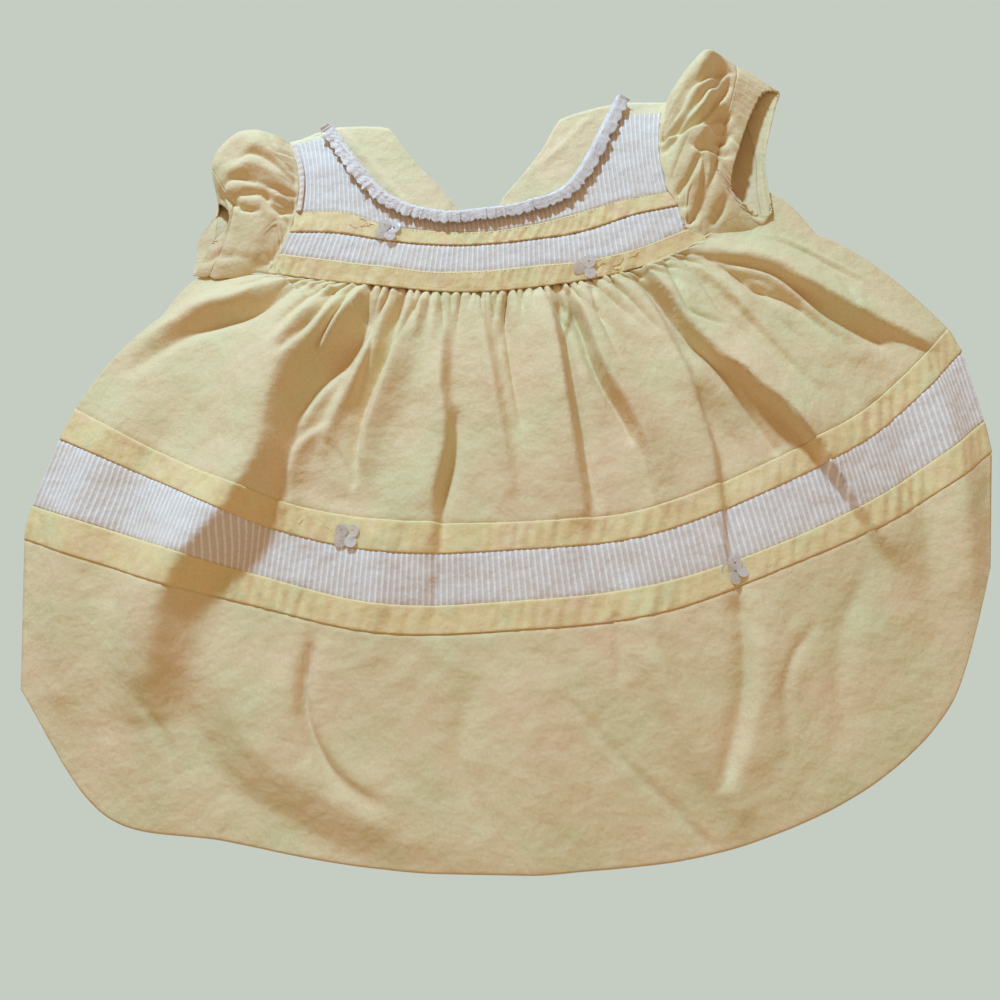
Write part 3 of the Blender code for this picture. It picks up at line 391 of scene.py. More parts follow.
LEFT_CREASES = (
    fold(1.7, 5, (104, 27, -2), (108, 30, -4), (112, 36, -5), (117, 38, -5.5), (123, 42, -6),
         (129, 46, -5), (134, 48, -2.5)),
    fold(1.5, 4, (105, 22, -2), (109, 24, -3.5), (115, 28, -5), (120, 34, -5.5), (125, 38, -5),
         (130, 45, -3)),
    fold(1.5, 4, (111, 19, -2.5), (115, 20, -4.5), (119, 23, -5.5), (124, 29, -6), (129, 35, -5),
         (133, 41, -2.5)),
    fold(1.6, 3, (119, 19, -3), (122, 21, -4.5), (126, 24, -5), (130, 25, -3)),
    fold(1.4, 3, (98, 20, -2), (102, 22, -4), (106, 21, -4.5), (110, 19, -4.5), (116, 17, -4.2),
         (123, 17, -4), (129, 20, -2.5)),
    fold(1.4, 2.5, (99, 14, -2), (104, 17, -3), (109, 18, -2.5)),
    fold(2.5, 3, (119, 11, -3), (123, 12.5, -5), (127, 14, -5), (130, 17, -3)),
    fold(1.4, 3, (111, 8, -2), (114, 6.5, -5), (118, 6, -5.5), (122, 6.5, -4.5), (127, 5, -2.5)),
    fold(2.2, 1.5, (114, 4, -2), (111, -1, -3.5), (108, -5, -3.5), (104, -9, -2)),
    fold(1.4, 2, (115, 2, -2.5), (115, -5, -3), (114, -12, -2.5), (113, -19, -1.5)),
    fold(1.3, 2, (121, 0, -2), (119, -6, -2.2), (117, -11, -2), (115, -16, -1)),
    fold(2, 2, (125, -17, -1.5), (122, -22, -2.5), (119, -26, -2)),
    fold(1.5, 2, (98, -7, -1.5), (102, -11, -2.5), (105, -16, -2)),
    fold(2, 1.5, (103, -25, -1.5), (108, -23, -3), (111, -20, -3), (112, -15, -1.5)),
    fold(2.5, 2.5, (137, -22, -2.5), (141, -24, -4), (145, -27, -3)),
    fold(1.5, 1.5, (139, -18, 1.5), (143, -20, 2), (147, -23, 1.5)),
    fold(3, 3, (112, 49, 1.5), (120, 52, 2), (129, 53, 1.5)),
)

SLEEVES = {
    "right": (-1, RIGHT_SLEEVE, RIGHT_CREASES),
    "left": (1, LEFT_SLEEVE, LEFT_CREASES),
}

# Rows of stitches on the bands: which half of the front, the line that each row follows, and how
# far it lies from that line towards the hem.
SeamRow = namedtuple("SeamRow", "part line away")
SEAM_ROWS = (
    SeamRow("skirt", 2, 1.3), SeamRow("skirt", 3, -1.0), SeamRow("skirt", 4, 1.3),
    SeamRow("skirt", 5, -1.2), SeamRow("yoke", 0, -1.1), SeamRow("yoke", 1, 1.1),
    SeamRow("yoke", 2, -1.1), SeamRow("yoke", 3, 1.1),
)
# A stitch: radius of its thread, how high it lies over the cloth and how deep its ends go in.
STITCH_RADIUS = 0.17
STITCH_RAISED = 0.06
STITCH_DIVE = 0.22
# Start, middle and end of a stitch, as shares of the space between two.
STITCH_SHARES = (0.12, 0.45, 0.78)
# Rows of stitches round the casings, as shares of the sleeve's length.
CASING_ROWS = (0.835, 0.9)

# Embroidered stems beside the sequins, as (x, y) points on the front.
STEMS = (
    ((-94, -157), (-91, -158), (-88, -155.5), (-84, -158), (-80, -159.5), (-75, -163)),
    ((-86, -157), (-84, -154.5), (-81, -156)),
    ((106, -197), (110, -194), (114, -196.5), (118, -197), (122, -194), (127, -193), (131, -189)),
    ((117, -197), (119, -199.5), (122, -198)),
    ((58, -43), (62, -42), (67, -44), (71, -41), (76, -40.5), (81, -38)),
    ((66, -44), (68, -46), (71, -44.5)),
    ((-46, -12), (-49, -9.5), (-53, -8.5), (-57, -10.5), (-61, -8)),
    ((-52, -8.5), (-53, -6), (-56, -5.5)),
)
STEM_RADIUS = 0.16
STEM_RAISED = 0.25

# The lace: its thickness, its length along the seam, how far its ends curl past the neck points,
# how many scallops it has and how deep they are.
LACE_THICKNESS = 0.3
LACE_LENGTH = 130.0
LACE_CURL = 7.0
LACE_SCALLOPS = 46
LACE_SCALLOP = 1.3
# Where it starts, out from the seam and up; how far its ruffles sway out, up and along; and how
# deep its net's bump is.
LACE_START = (0.2, 0.8)
LACE_SWAY = (0.7, 0.5, 0.5)
LACE_BUMP = 0.07

# The armhole's binding: its thickness and width, its place beside and over the armhole's edge,
# how much its middle swells and how deep it puckers, and the share of the armhole where it shows.
PIPING_THICKNESS = 0.7
PIPING_WIDE = 2.6
PIPING_PLACE = (0.4, 0.9)
PIPING_SWELL = 0.5
PIPING_PUCKER = 0.12
PIPING_SPAN = (0.04, 0.62)

# Clusters of sequins: the node, the middle, the first sequin's direction in degrees, how many.
Cluster = namedtuple("Cluster", "name x y turn discs")
CLUSTERS = (
    Cluster("sequins_yoke_right", -42, -14, 20, 4),
    Cluster("sequins_yoke_left", 54, -44, 60, 3),
    Cluster("sequins_skirt_right", -69, -166, 35, 4),
    Cluster("sequins_skirt_left", 104, -197, 80, 4),
)
# Place of the sequins in a cluster: how far out, how high over the cloth, how much higher each
# one lies than the one before, how much it tips, and how much cloth round it they lie on.
CLUSTER_SPREAD = 3.5
SEQUIN_LIFT = 1.0
SEQUIN_STEP = 0.28
SEQUIN_TILT = 0.2
CLUSTER_RADIUS = 7.0
# A sequin's thickness, and the bevel of its edges.
SEQUIN_THICKNESS = 0.5
SEQUIN_BEVEL = 0.12
# Rings of a sequin from its rim inwards: width and how far each one steps out or in.
SEQUIN_INSETS = ((0.75, -0.12), (1.3, 0.05), (0.7, 0.0))

# Panels: node, first line, last line, raised, columns, rows, tucks, whether its first and last
# edge go under their neighbours, slot, flat cut in metres, how it is held, and a shaped cut's area.
Panel = namedtuple("Panel",
                   "node low high raised columns rows tucks under slot flat held area",
                   defaults=(None,))
SKIRT_PANELS = (
    Panel("skirt_front_upper", 0, 2, 0.0, 440, 84, 0, (True, True), "yellow_cotton",
          (0.47, 0.125), "gathered"),
    Panel("skirt_band_upper", 2, 3, BAND_RAISED, 420, 14, 0, (False, False), "band_cotton",
          (0.48, 0.017), "laid"),
    Panel("skirt_insert", 3, 4, 0.0, 1424, 13, 178, (True, True), "tucked_voile",
          (0.60, 0.026), "laid"),
    Panel("skirt_band_lower", 4, 5, BAND_RAISED, 420, 14, 0, (False, False), "band_cotton",
          (0.49, 0.016), "laid"),
    Panel("skirt_front_lower", 5, 6, 0.0, 260, 64, 0, (True, False), "yellow_cotton",
          (0.50, 0.105), "laid"),
)
YOKE_PANELS = (
    Panel("yoke_band_lower", 0, 1, BAND_RAISED, 240, 12, 0, (False, False), "band_cotton",
          (0.22, 0.013), "laid"),
    Panel("yoke_insert", 1, 2, 0.0, 632, 12, 79, (True, True), "tucked_voile",
          (0.26, 0.016), "laid"),
    Panel("yoke_band_upper", 2, 3, BAND_RAISED, 240, 12, 0, (False, False), "band_cotton",
          (0.20, 0.012), "laid"),
    Panel("yoke_upper", 3, 4, 0.0, 656, 38, 82, (True, False), "tucked_voile",
          (0.20, 0.066), "laid", 0.0068),
)

# Looks: how fine the grain, the crumple and the clouds of colour are, the colours of the clouds
# in the sequins, and how much the voile is clouded.
GRAIN_SCALE = 900.0
CRUMPLE_SCALE = 120.0
BAND_CLOUD = 70.0
SEQUIN_CLOUD = 400.0
SEQUIN_WARM = (0.66, 0.55, 0.5)
SEQUIN_COOL = (0.88, 0.88, 0.95)
VOILE_MOTTLE = 0.3

# The surface's width and how far it lies below the dress, in metres.
SURFACE_SIZE = 4.0
SURFACE_DROP = 0.0003
# Camera: focal length, its azimuth, elevation and roll in degrees, and its place in metres.
CAMERA_LENS = 27.036
CAMERA_ANGLES = (5.9478, 77.6673, -10.948)
CAMERA_PLACE = (0.007103, -0.10098, 0.343877)


def smooth(t):
    """0 below 0, 1 above 1 and an even ease between."""
    t = np.clip(t, 0.0, 1.0)
    return t * t * (3.0 - 2.0 * t)


def waves(x, table):
    """Sum of sine waves of x, each given as (height, rate, start)."""
    return sum(height * np.sin(rate * x + start) for height, rate, start in table)


def grid(columns, rows, across=(0, 1), down=(0, 1)):
    """Even values across and down a sheet of points."""
    return np.meshgrid(np.linspace(*across, columns), np.linspace(*down, rows))


def padded(points):
    """The points with one more at each end, in line with the last two there."""
    return np.concatenate([2 * points[:1] - points[1:2], points, 2 * points[-1:] - points[-2:-1]])


def spline(a, b, c, d, f):
    """A smooth curve through a, b, c and d, at f (0 to 1) of the way from b to c."""
    bend = 2 * a - 5 * b + 4 * c - d + f * (3 * b - a - 3 * c + d)
    return b + 0.5 * f * (c - a + f * bend)


def curve(points, t):
    """Points at t (0 to 1) on a smooth curve through evenly spaced points."""
    points = padded(np.asarray(points, float))
    spans = len(points) - 3
    along = np.clip(np.asarray(t, float) * spans, 0.0, spans)
    first = np.minimum(along.astype(int), spans - 1)
    return spline(*(points[first + i] for i in range(4)), (along - first)[..., None])


def polyline(points, t):
    """Points at t (0 to 1) on straight lines through evenly spaced points."""
    along = np.asarray(t, float) * (len(points) - 1)
    return np.stack([np.interp(along, range(len(points)), axis) for axis in zip(*points)], -1)


def between(lines, at):
    """Points on straight links from line to line; at is 0 on the first line, 1 on the second."""
    at = np.clip(at, 0, len(lines) - 1)
    return sum(line * np.clip(1 - abs(at - i), 0, 1)[..., None] for i, line in enumerate(lines))


def with_height(xy, z):
    return np.concatenate([xy, z[..., None]], axis=-1)


def to_metres(points):
    return (np.asarray(points, float) - (ORIGIN[0], ORIGIN[1], 0.0)) * MM


def fold_height(x, y, each):
    """Height that one fold adds at each (x, y)."""
    path = curve(each.path, np.linspace(0, 1, 4 * len(each.path) - 3))
    reach = FOLD_REACH * max(each.left, each.right)
    low, high = path[:, :2].min(axis=0) - reach, path[:, :2].max(axis=0) + reach
    near = (x > low[0]) & (x < high[0]) & (y > low[1]) & (y < high[1])
    result = np.zeros(x.shape)
    px, py = x[near], y[near]
    nearest, found = np.full(px.shape, np.inf), np.zeros(px.shape)
    for (ax, ay, high_a), (bx, by, high_b) in zip(path, path[1:]):
        dx, dy = bx - ax, by - ay
        s = np.clip(((px - ax) * dx + (py - ay) * dy) / (dx * dx + dy * dy), 0, 1)
        away_x, away_y = px - ax - s * dx, py - ay - s * dy
        away = np.hypot(away_x, away_y)
        aside = (dx * away_y - dy * away_x) / (math.hypot(dx, dy) * np.maximum(away, TINY))
        wide = each.left + (each.right - each.left) * smooth(0.5 + FOLD_TURN * aside)
        height = (high_a + s * (high_b - high_a)) * np.exp(-((away / wide) ** FOLD_SHAPE))
        found = np.where(away < nearest, height, found)
        nearest = np.minimum(away, nearest)
    result[near] = found
    return result


def unevenness(x, y):
    """Slight rises and dips of soft cloth that no crease explains."""
    return (
        0.22 * np.sin(x / 9.1 + 1.7 * np.sin(y / 21.0))
        + 0.18 * np.sin(y / 7.3 + 1.3 * np.sin(x / 17.0) + 2.0)
        + 0.10 * np.sin((x + y) / 4.1 + np.sin(y / 9.0))
        + 0.12 * np.sin(y / 3.1 - x / 8.0 + 2.4 * np.sin(x / 13.0)) * np.sin(x / 19.0 + y / 27.0)
    )


def soft_floor(z):
    """Keeps the front off the back without a crease where it comes to rest."""
    return FRONT_LOW + SOFTNESS * np.logaddexp(0, (z - FRONT_LOW) / SOFTNESS)


def gathers(across, below):
    """Uneven gathers and the small puffs between them, just below the waist seam."""
    down = np.maximum(below, 0)

    def fade(length):
        return smooth((down + 1.5) / 2) * np.exp(-((down / length) ** 2))

    z = GATHER_PUFF * smooth(down / 2.5) * np.exp(-((down / PUFF_LENGTH) ** 2))
    for place, depth, length in WAIST_GATHERS:
        wide = GATHER_WIDE * (0.85 + 0.3 * math.sin(1.9 * place)) * (1 + down / GATHER_FAN)
        lean = GATHER_LEAN * math.sin(2.4 * place)
        aside = np.abs((across - place - lean * down) / wide)
        z = z - GATHER_DEPTH * depth * np.exp(-(aside ** GATHER_SHAPE)) * fade(length)
    fine = np.sin(2 * math.pi * across / FINE_GATHER_PITCH + 1.4 * np.sin(across / 3.7))
    fine *= 0.6 + 0.4 * np.sin(across / 5.3 + 1) + 0.5 * smooth((across - 20) / 50)
    length = FINE_GATHER_LENGTH * (1 + 0.45 * np.sin(across / 2.3))
    return z + FINE_GATHER_HEIGHT * fine * fade(length)


def skirt_plan(u, v):
    """(x, y) of the skirt at u (-1 to 1 across) and v (line number, 0 waist to 6 hem)."""
    lines = [curve(line, (u + 1) / 2) for line in SKIRT_LINES.values()]
    upper = (
        lines[0] * ((v - 1) * (v - 2) / 2)[..., None]
        + lines[1] * (v * (2 - v))[..., None]
        + lines[2] * (v * (v - 1) / 2)[..., None]
    )
    plan = np.where((v < 2)[..., None], upper, between(lines, v))
    swell = np.where(u > 0, SIDE_SWELL[1], SIDE_SWELL[0]) * np.abs(u) ** 8
    plan[..., 1] += swell * np.sin(math.pi * np.clip(v, 0, 1) ** 1.3)
    return plan


def skirt_height(u, v, xy):
    x, y = xy[..., 0], xy[..., 1]
    waist = curve(SKIRT_LINES["waist"], (u + 1) / 2)
    below = np.hypot(x - waist[..., 0], y - waist[..., 1]) * np.sign(v + TINY)
    loft = np.interp(v, range(len(SKIRT_LOFT)), SKIRT_LOFT)
    edge = np.abs(u) ** 8 * smooth((below + 18) / 25)
    z = FRONT_LOW + loft * (1 - edge)
    folds = sum(fold_height(x, y, each) for each in FOLDS) + unevenness(x, y)
    z = z + folds * smooth(below / FOLD_START) * (1 - np.abs(u) ** 16)
    return soft_floor(z) + gathers(waist[..., 0], below) * (1 - np.abs(u) ** 12)


def front_top(u):
    """The front's top edge: straight shoulders, and a neckline rounder than its stations."""
    u = np.asarray(u, float)
    neck = curve(FRONT_TOP[1:8], (u / NECK_SHARE + 1) / 2)
    neck[..., 1] -= NECK_BULGE * np.sin(math.pi * np.clip((np.abs(u) - 0.25) / 0.5, 0, 1))
    shoulders = polyline(FRONT_TOP, (u + 1) / 2)
    return np.where((np.abs(u) < NECK_SHARE)[..., None], neck, shoulders)


def bodice_plan(u, r, top):
    """(x, y) of the bodice at u across and r (0 waist to 3 band top, 4 top edge)."""
    lines = [curve(line, (u + 1) / 2) for line in YOKE_LINES.values()]
    xy = between(lines + [top], r)
    hollow = ARMHOLE_HOLLOW * np.sin(math.pi * np.clip(r - 3, 0, 1)) * np.abs(u) ** 6
    return np.stack([xy[..., 0] - np.sign(u) * hollow, xy[..., 1]], axis=-1)


def yoke_plan(u, r):
    return bodice_plan(u, r, front_top(u))


def yoke_height(u, r, xy):
    ends = np.abs(u) ** 6 * smooth(1 - r / 1.5)
    shoulder = smooth((xy[..., 1] - SHOULDER_START) / SHOULDER_RUN)
    loft = YOKE_LOFT - SEAM_END_DROP * ends - SHOULDER_DROP * shoulder
    waist_ease = (SKIRT_LOFT[0] - YOKE_LOFT) * smooth(1 - r / 1.2) * (1 - np.abs(u) ** 6)
    return soft_floor(FRONT_LOW + loft + waist_ease + 0.7 * unevenness(xy[..., 0], xy[..., 1]))


def neckline(s):
    """The neckline seam from the right neck point to the left one."""
    u = NECK_SHARE * (2 * s - 1)
    xy = front_top(u)
    return with_height(xy, yoke_height(u, np.full(np.shape(s), 4.0), xy))


def armhole_edge(side, t, back=False):
    """The armhole from shoulder (t = 0) to underarm (t = 1)."""
    u = np.full(np.shape(t), float(side))
    r = np.interp(t, ARMHOLE_KNOTS, (4, 3, 2, 1, 0))
    xy = yoke_plan(u, r)
    z = np.full(np.shape(t), ARMHOLE_BACK) if back else yoke_height(u, r, xy)
    return with_height(xy, z)


def armhole_loop(side, angle):
    """The sleeve's first loop: along the front armhole, round the underarm, back behind."""
    front = angle <= math.pi
    t = 0.5 - np.cos(angle) / 2
    over, under = armhole_edge(side, t), armhole_edge(side, t, back=True)
    middle = (over + under) / 2
    open_by = np.abs(np.sin(angle))[..., None] ** 0.6
    loop = middle + (np.where(front[..., None], over, under) - middle) * open_by
    loop[..., 0] += side * ARMHOLE_GAP
    loop[..., 1] += UNDERARM_RISE * t ** 4
    return loop


def section_loop(section, angle):
    """A closed curve through a section's places, at angles from its top end round the front."""
    top, upper, middle, lower, low, back = (np.asarray(p, float) for p in section)
    under_low, under_top = (low + back) / 2, 0.75 * top + 0.25 * back
    under_low[2] = under_top[2] = back[2]
    ring = np.stack([top, upper, middle, lower, low, under_low, back, under_top])
    count = len(ring)
    ring = np.concatenate([ring[-1:], ring, ring[:2]])
    return curve(ring, (1 + count * angle / (2 * math.pi)) / (count + 2))


def sleeve_pleats(side, angle, along):
    """How far a sleeve's pleats stand out all along it, and its head's pleats alone."""
    phase = SLEEVE_GATHERS * angle / 2 + waves(angle, PLEAT_DRIFT)
    index = np.floor(phase / math.pi)
    strength = 0.65 + waves(index, PLEAT_STRENGTH)
    reach = 0.28 + waves(index, PLEAT_REACH)
    pleat = strength * (0.5 - np.abs(np.sin(phase)))
    small = strength * (0.5 - np.abs(np.sin(1.7 * phase + 0.6)))
    head = HEAD_RISE * smooth(along / 0.04) * smooth((reach - along) / 0.25)
    casing = CUFF_RISE * smooth((along - 0.66) / 0.14) + RIM_RUFFLE * smooth((along - 0.88) / 0.12)
    if side < 0:
        casing = casing * RIGHT_CASING_EASE
    wave = -2 * (pleat * head + small * casing)
    for depth, wide in CASING_SEAMS:
        wave = wave - depth * np.exp(-(((along - CUFF_START) / wide) ** 2))
    return wave * (0.25 + 0.75 * smooth(1.5 * np.sin(angle) + 0.9)), pleat


def sleeve_surface(side, sections, creases, angle, along):
    """Point of a puff sleeve: angle round it from its top end, along it 0 to 1."""
    loops = np.stack([armhole_loop(side, angle)] + [section_loop(s, angle) for s in sections])
    spans = len(loops) - 1
    step = np.minimum((along * spans).astype(int), spans - 1)
    knots, place = padded(loops), np.indices(step.shape)
    share = (along * spans - step)[..., None]
    point = spline(*(knots[(step + i, *place)] for i in range(4)), share)
    out = point - np.mean([(s.top, s.low) for s in sections], axis=(0, 1))
    out[..., 0] *= PUFF_LEAN
    out /= np.linalg.norm(out, axis=-1, keepdims=True)
    x, y = point[..., 0], point[..., 1]
    creased = sum(fold_height(x, y, crease) for crease in creases) + 0.8 * unevenness(x, y)
    wave, pleat = sleeve_pleats(side, angle, along)
    facing = smooth(2.5 * np.sin(angle))
    lap = ARMHOLE_LAP[side > 0] * facing * smooth(1 - along / 0.05)
    point = point + out * wave[..., None]
    point[..., 0] -= side * lap * (1 + 0.7 * pleat)
    point[..., 2] += 0.5 * lap + creased * facing * smooth(along / 0.06)
    point[..., 2] = np.maximum(point[..., 2], SLEEVE_LOW)
    return point


class Nodes:
    """Adds shader nodes to a tree."""

    def __init__(self, tree):
        self.tree = tree

    def add(self, kind, inputs=(), **settings):
        node = self.tree.nodes.new(kind)
        node.location = (240 * len(self.tree.nodes), 0)
        for name, value in settings.items():
            setattr(node, name, value)
        for key, value in dict(inputs).items():
            if isinstance(value, bpy.types.NodeSocket):
                self.tree.links.new(value, node.inputs[key])
            else:
                node.inputs[key].default_value = value
        return node

    def math(self, operation, *values):
        return self.add("ShaderNodeMath", enumerate(values), operation=operation).outputs[0]

    def mix(self, factor, a, b):
        return self.add("ShaderNodeMix", {0: factor, 6: a, 7: b}, data_type="RGBA").outputs[2]

    def noise(self, vector, scale, detail=2.0):
        inputs = {"Vector": vector, "Scale": scale, "Detail": detail}
        return self.add("ShaderNodeTexNoise", inputs).outputs["Fac"]

    def ranged(self, value, *limits):
        """A value carried from its low and high limits to new ones, which are 0 and 1."""
        return self.add("ShaderNodeMapRange", enumerate((value, *limits))).outputs[0]

    def split(self, vector):
        return self.add("ShaderNodeSeparateXYZ", {0: vector}).outputs

    def group(self, tree, **inputs):
        return self.add("ShaderNodeGroup", inputs, node_tree=tree).outputs


def shared_group(name, inputs, outputs):
    """Marks the body of a shader node group, which is made once.

    The body gets the group's Nodes and given sockets, and gives back its outputs in order.
    inputs holds a socket type, or the default of a number; outputs holds socket types.
    """
    def mark(body):
        def group():
            if name in bpy.data.node_groups:
                return bpy.data.node_groups[name]
            tree = bpy.data.node_groups.new(name, "ShaderNodeTree")
            for label, kind in inputs.items():
                number = isinstance(kind, float)
                socket = tree.interface.new_socket(
                    label, in_out="INPUT", socket_type="NodeSocketFloat" if number else kind)
                if number:
                    socket.default_value = kind
            for label, kind in outputs.items():
                tree.interface.new_socket(label, in_out="OUTPUT", socket_type=kind)
            nodes = Nodes(tree)
            given = nodes.add("NodeGroupInput").outputs
            out = nodes.add("NodeGroupOutput").inputs
            for label, socket in zip(outputs, body(nodes, given)):
                tree.links.new(socket, out[label])
            return tree
        return group
    return mark


@shared_group(
    "Cloth Mottle",
    {"Vector": "NodeSocketVector", "Base": "NodeSocketColor", "Warm": "NodeSocketColor",
     "Cool": "NodeSocketColor", "Amount": 0.5, "Scale": 28.0},
    {"Color": "NodeSocketColor"},
)
def group_mottle(nodes, given):
    """Faint warm and cool clouds over a base colour."""
    level = nodes.noise(given["Vector"], given["Scale"], 3.0)
    color = given["Base"]
    for tint, full in (("Warm", 0.75), ("Cool", 0.25)):
        amount = nodes.math("MULTIPLY", nodes.ranged(level, 0.5, full), given["Amount"])
        color = nodes.mix(amount, color, given[tint])
    grain = nodes.ranged(nodes.noise(given["Vector"], GRAIN_SCALE), 0.3, 0.7, 0.95, 1.05)
    return nodes.add("ShaderNodeVectorMath", {0: color, "Scale": grain}, operation="SCALE").outputs


@shared_group(
    "Plain Weave",
    {"Vector": "NodeSocketVector", "Threads": 2.2},
    {"Height": "NodeSocketFloat"},
)
def group_weave(nodes, given):
    """Height of a plain weave, from a map in millimetres and the threads in each."""
    across = nodes.split(given["Vector"])
    rate = nodes.math("MULTIPLY", given["Threads"], math.pi)
    warp, weft = (nodes.math("SINE", nodes.math("MULTIPLY", across[i], rate)) for i in range(2))
    woven = nodes.math("MULTIPLY", nodes.math("MULTIPLY", warp, weft), 0.5)
    return [nodes.math("ADD", woven, nodes.noise(given["Vector"], 1.3))]


@shared_group(
    "Tuck Stripes",
    {"Vector": "NodeSocketVector", "Share": 0.45},
    {"Mask": "NodeSocketFloat"},
)
def group_stripes(nodes, given):
    """1 on each raised tuck and 0 on the ground, from a map whose x counts the tucks."""
    turns = nodes.math("MULTIPLY", nodes.split(given["Vector"])[0], 2 * math.pi)
    waver = nodes.math("SUBTRACT", nodes.noise(given["Vector"], 1.7), 0.5)
    level = nodes.math("ADD", nodes.math("COSINE", turns), nodes.math("MULTIPLY", waver, 0.9))
    return [nodes.ranged(level, given["Share"], 0.9)]


@shared_group(
    "Lace Net",
    {"Vector": "NodeSocketVector", "Thread": "NodeSocketColor", "Shade": "NodeSocketColor"},
    {"Color": "NodeSocketColor", "Cover": "NodeSocketFloat", "Height": "NodeSocketFloat"},
)
def group_lace(nodes, given):
    """Colour and cover of a fine net with worked spots, from a map in millimetres; the Shade colour
    is painted shade, laid on the open net round the holes.
    """
    cells = nodes.add("ShaderNodeTexVoronoi", {"Vector": given["Vector"], "Scale": 1.15},
                      feature="DISTANCE_TO_EDGE")
    worked = nodes.noise(given["Vector"], 0.55)
    net = nodes.ranged(cells.outputs[0], 0.24, 0.16)
    # Painted shade: where the worked spots thin out round the holes, the net takes the darker Shade
    # colour.
    color = nodes.mix(nodes.ranged(worked, 0.62, 0.42), given["Thread"], given["Shade"])
    cover = nodes.math("MAXIMUM", net, nodes.ranged(worked, 0.34, 0.42))
    return color, cover, nodes.math("ADD", net, worked)


def opaque(color):
    return (*color, 1)


def new_material(name, values):
    """A material with values on its shader's sockets, its Nodes, shader and coordinates."""
    made = bpy.data.materials.new(name)
    made.use_nodes = True
    shader = made.node_tree.nodes["Principled BSDF"]
    for label, value in values.items():
        shader.inputs[label].default_value = value
    nodes = Nodes(made.node_tree)
    return made, nodes, shader, nodes.add("ShaderNodeTexCoord").outputs


def add_bump(nodes, shader, height, depth):
    bump = nodes.add("ShaderNodeBump", {"Height": height, "Distance": depth * MM})
    nodes.tree.links.new(bump.outputs[0], shader.inputs["Normal"])


def cloth_material(name, cloth):
    """A new material with woven threads over the slight crumple of washed cotton."""
    made, nodes, shader, coords = new_material(
        name, {"Roughness": cloth.roughness, "Sheen Weight": cloth.sheen})
    weave = nodes.group(group_weave(), Vector=coords["UV"])[0]
    crumple = nodes.noise(coords["Object"], CRUMPLE_SCALE, 4.0)
    height = nodes.math("ADD", nodes.math("MULTIPLY", weave, cloth.weave_depth),
                        nodes.math("MULTIPLY", crumple, cloth.crumple))
    add_bump(nodes, shader, height, 1.0)
    return made, nodes, shader, coords


def add_mottle(nodes, shader, coords, **inputs):
    """Clouded colour of a piece, from the inputs of the mottle's group."""
    color = nodes.group(group_mottle(), Vector=coords["Object"], **inputs)[0]
    nodes.tree.links.new(color, shader.inputs["Base Color"])


def cotton_material(name, base, cloth, cloud=28.0):
    made, *parts = cloth_material(name, cloth)
    add_mottle(*parts, Base=opaque(base), Warm=opaque(cloth.warm_tint),
               Cool=opaque(cloth.cool_tint), Amount=cloth.mottle, Scale=cloud)
    return made


def voile_material(name, cloth):
    made, nodes, shader, coords = cloth_material(name, cloth)
    tucks = nodes.add("ShaderNodeUVMap", uv_map="tucks").outputs[0]
    stripes = nodes.group(group_stripes(), Vector=tucks)[0]
    striped = nodes.mix(stripes, opaque(cloth.voile_ground), opaque(cloth.voile_tuck))
    plain = nodes.add("ShaderNodeAttribute", attribute_name="plain").outputs["Fac"]
    add_mottle(nodes, shader, coords, Amount=VOILE_MOTTLE, Warm=opaque(cloth.voile_warm),
               Base=nodes.mix(plain, striped, opaque(cloth.facing_color)),
               Cool=opaque(cloth.voile_ground))
    return made


def lace_material(name, trim):
    made, nodes, shader, coords = new_material(name, {"Roughness": 0.8, "Sheen Weight": 0.2})
    net = nodes.group(group_lace(), Vector=coords["UV"], Thread=opaque(trim.lace_thread),
                      Shade=opaque(trim.lace_painted_shade))
    nodes.tree.links.new(net["Color"], shader.inputs["Base Color"])
    nodes.tree.links.new(net["Cover"], shader.inputs["Alpha"])
    add_bump(nodes, shader, net["Height"], LACE_BUMP)
    return made


def sequin_material(name, trim):
    made, *parts = new_material(name, {"Roughness": 0.16, "Alpha": trim.sequin_cover,
                                       "Coat Weight": 1.0, "Coat Roughness": 0.05})
    add_mottle(*parts, Scale=SEQUIN_CLOUD, Base=opaque(trim.sequin_color),
               Warm=opaque(SEQUIN_WARM), Cool=opaque(SEQUIN_COOL))
    return made


def material(name):
    """The shared material of one name, made on first use."""
    found = bpy.data.materials.get("look_" + name)
    if found:
        return found
    cloth, trim = bpy.context.scene.dress_cloth, bpy.context.scene.dress_trim
    makers = {
        "yellow_cotton": (cotton_material, cloth.cotton_color, cloth),
        "band_cotton": (cotton_material, cloth.band_color, cloth, BAND_CLOUD),
        "back_cotton": (cotton_material, cloth.back_color, cloth),
        "piping": (cotton_material, trim.piping_color, cloth),
        "thread": (cotton_material, trim.thread_color, cloth),
        "tucked_voile": (voile_material, cloth),
        "lace": (lace_material, trim),
        "clear_sequin": (sequin_material, trim),
    }
    maker, *settings = makers[name]
    return maker("look_" + name, *settings)


def lengths(points, axis):
    """Distance run along one axis of a grid of points, in millimetres."""
    steps = np.linalg.norm(np.diff(points, axis=axis), axis=-1)
    start = np.zeros_like(np.take(steps, [0], axis=axis))
    return np.concatenate([start, np.cumsum(steps, axis=axis)], axis=axis)


def thread_map(points):
    return np.stack([lengths(points, 1), lengths(points, 0)], axis=-1)


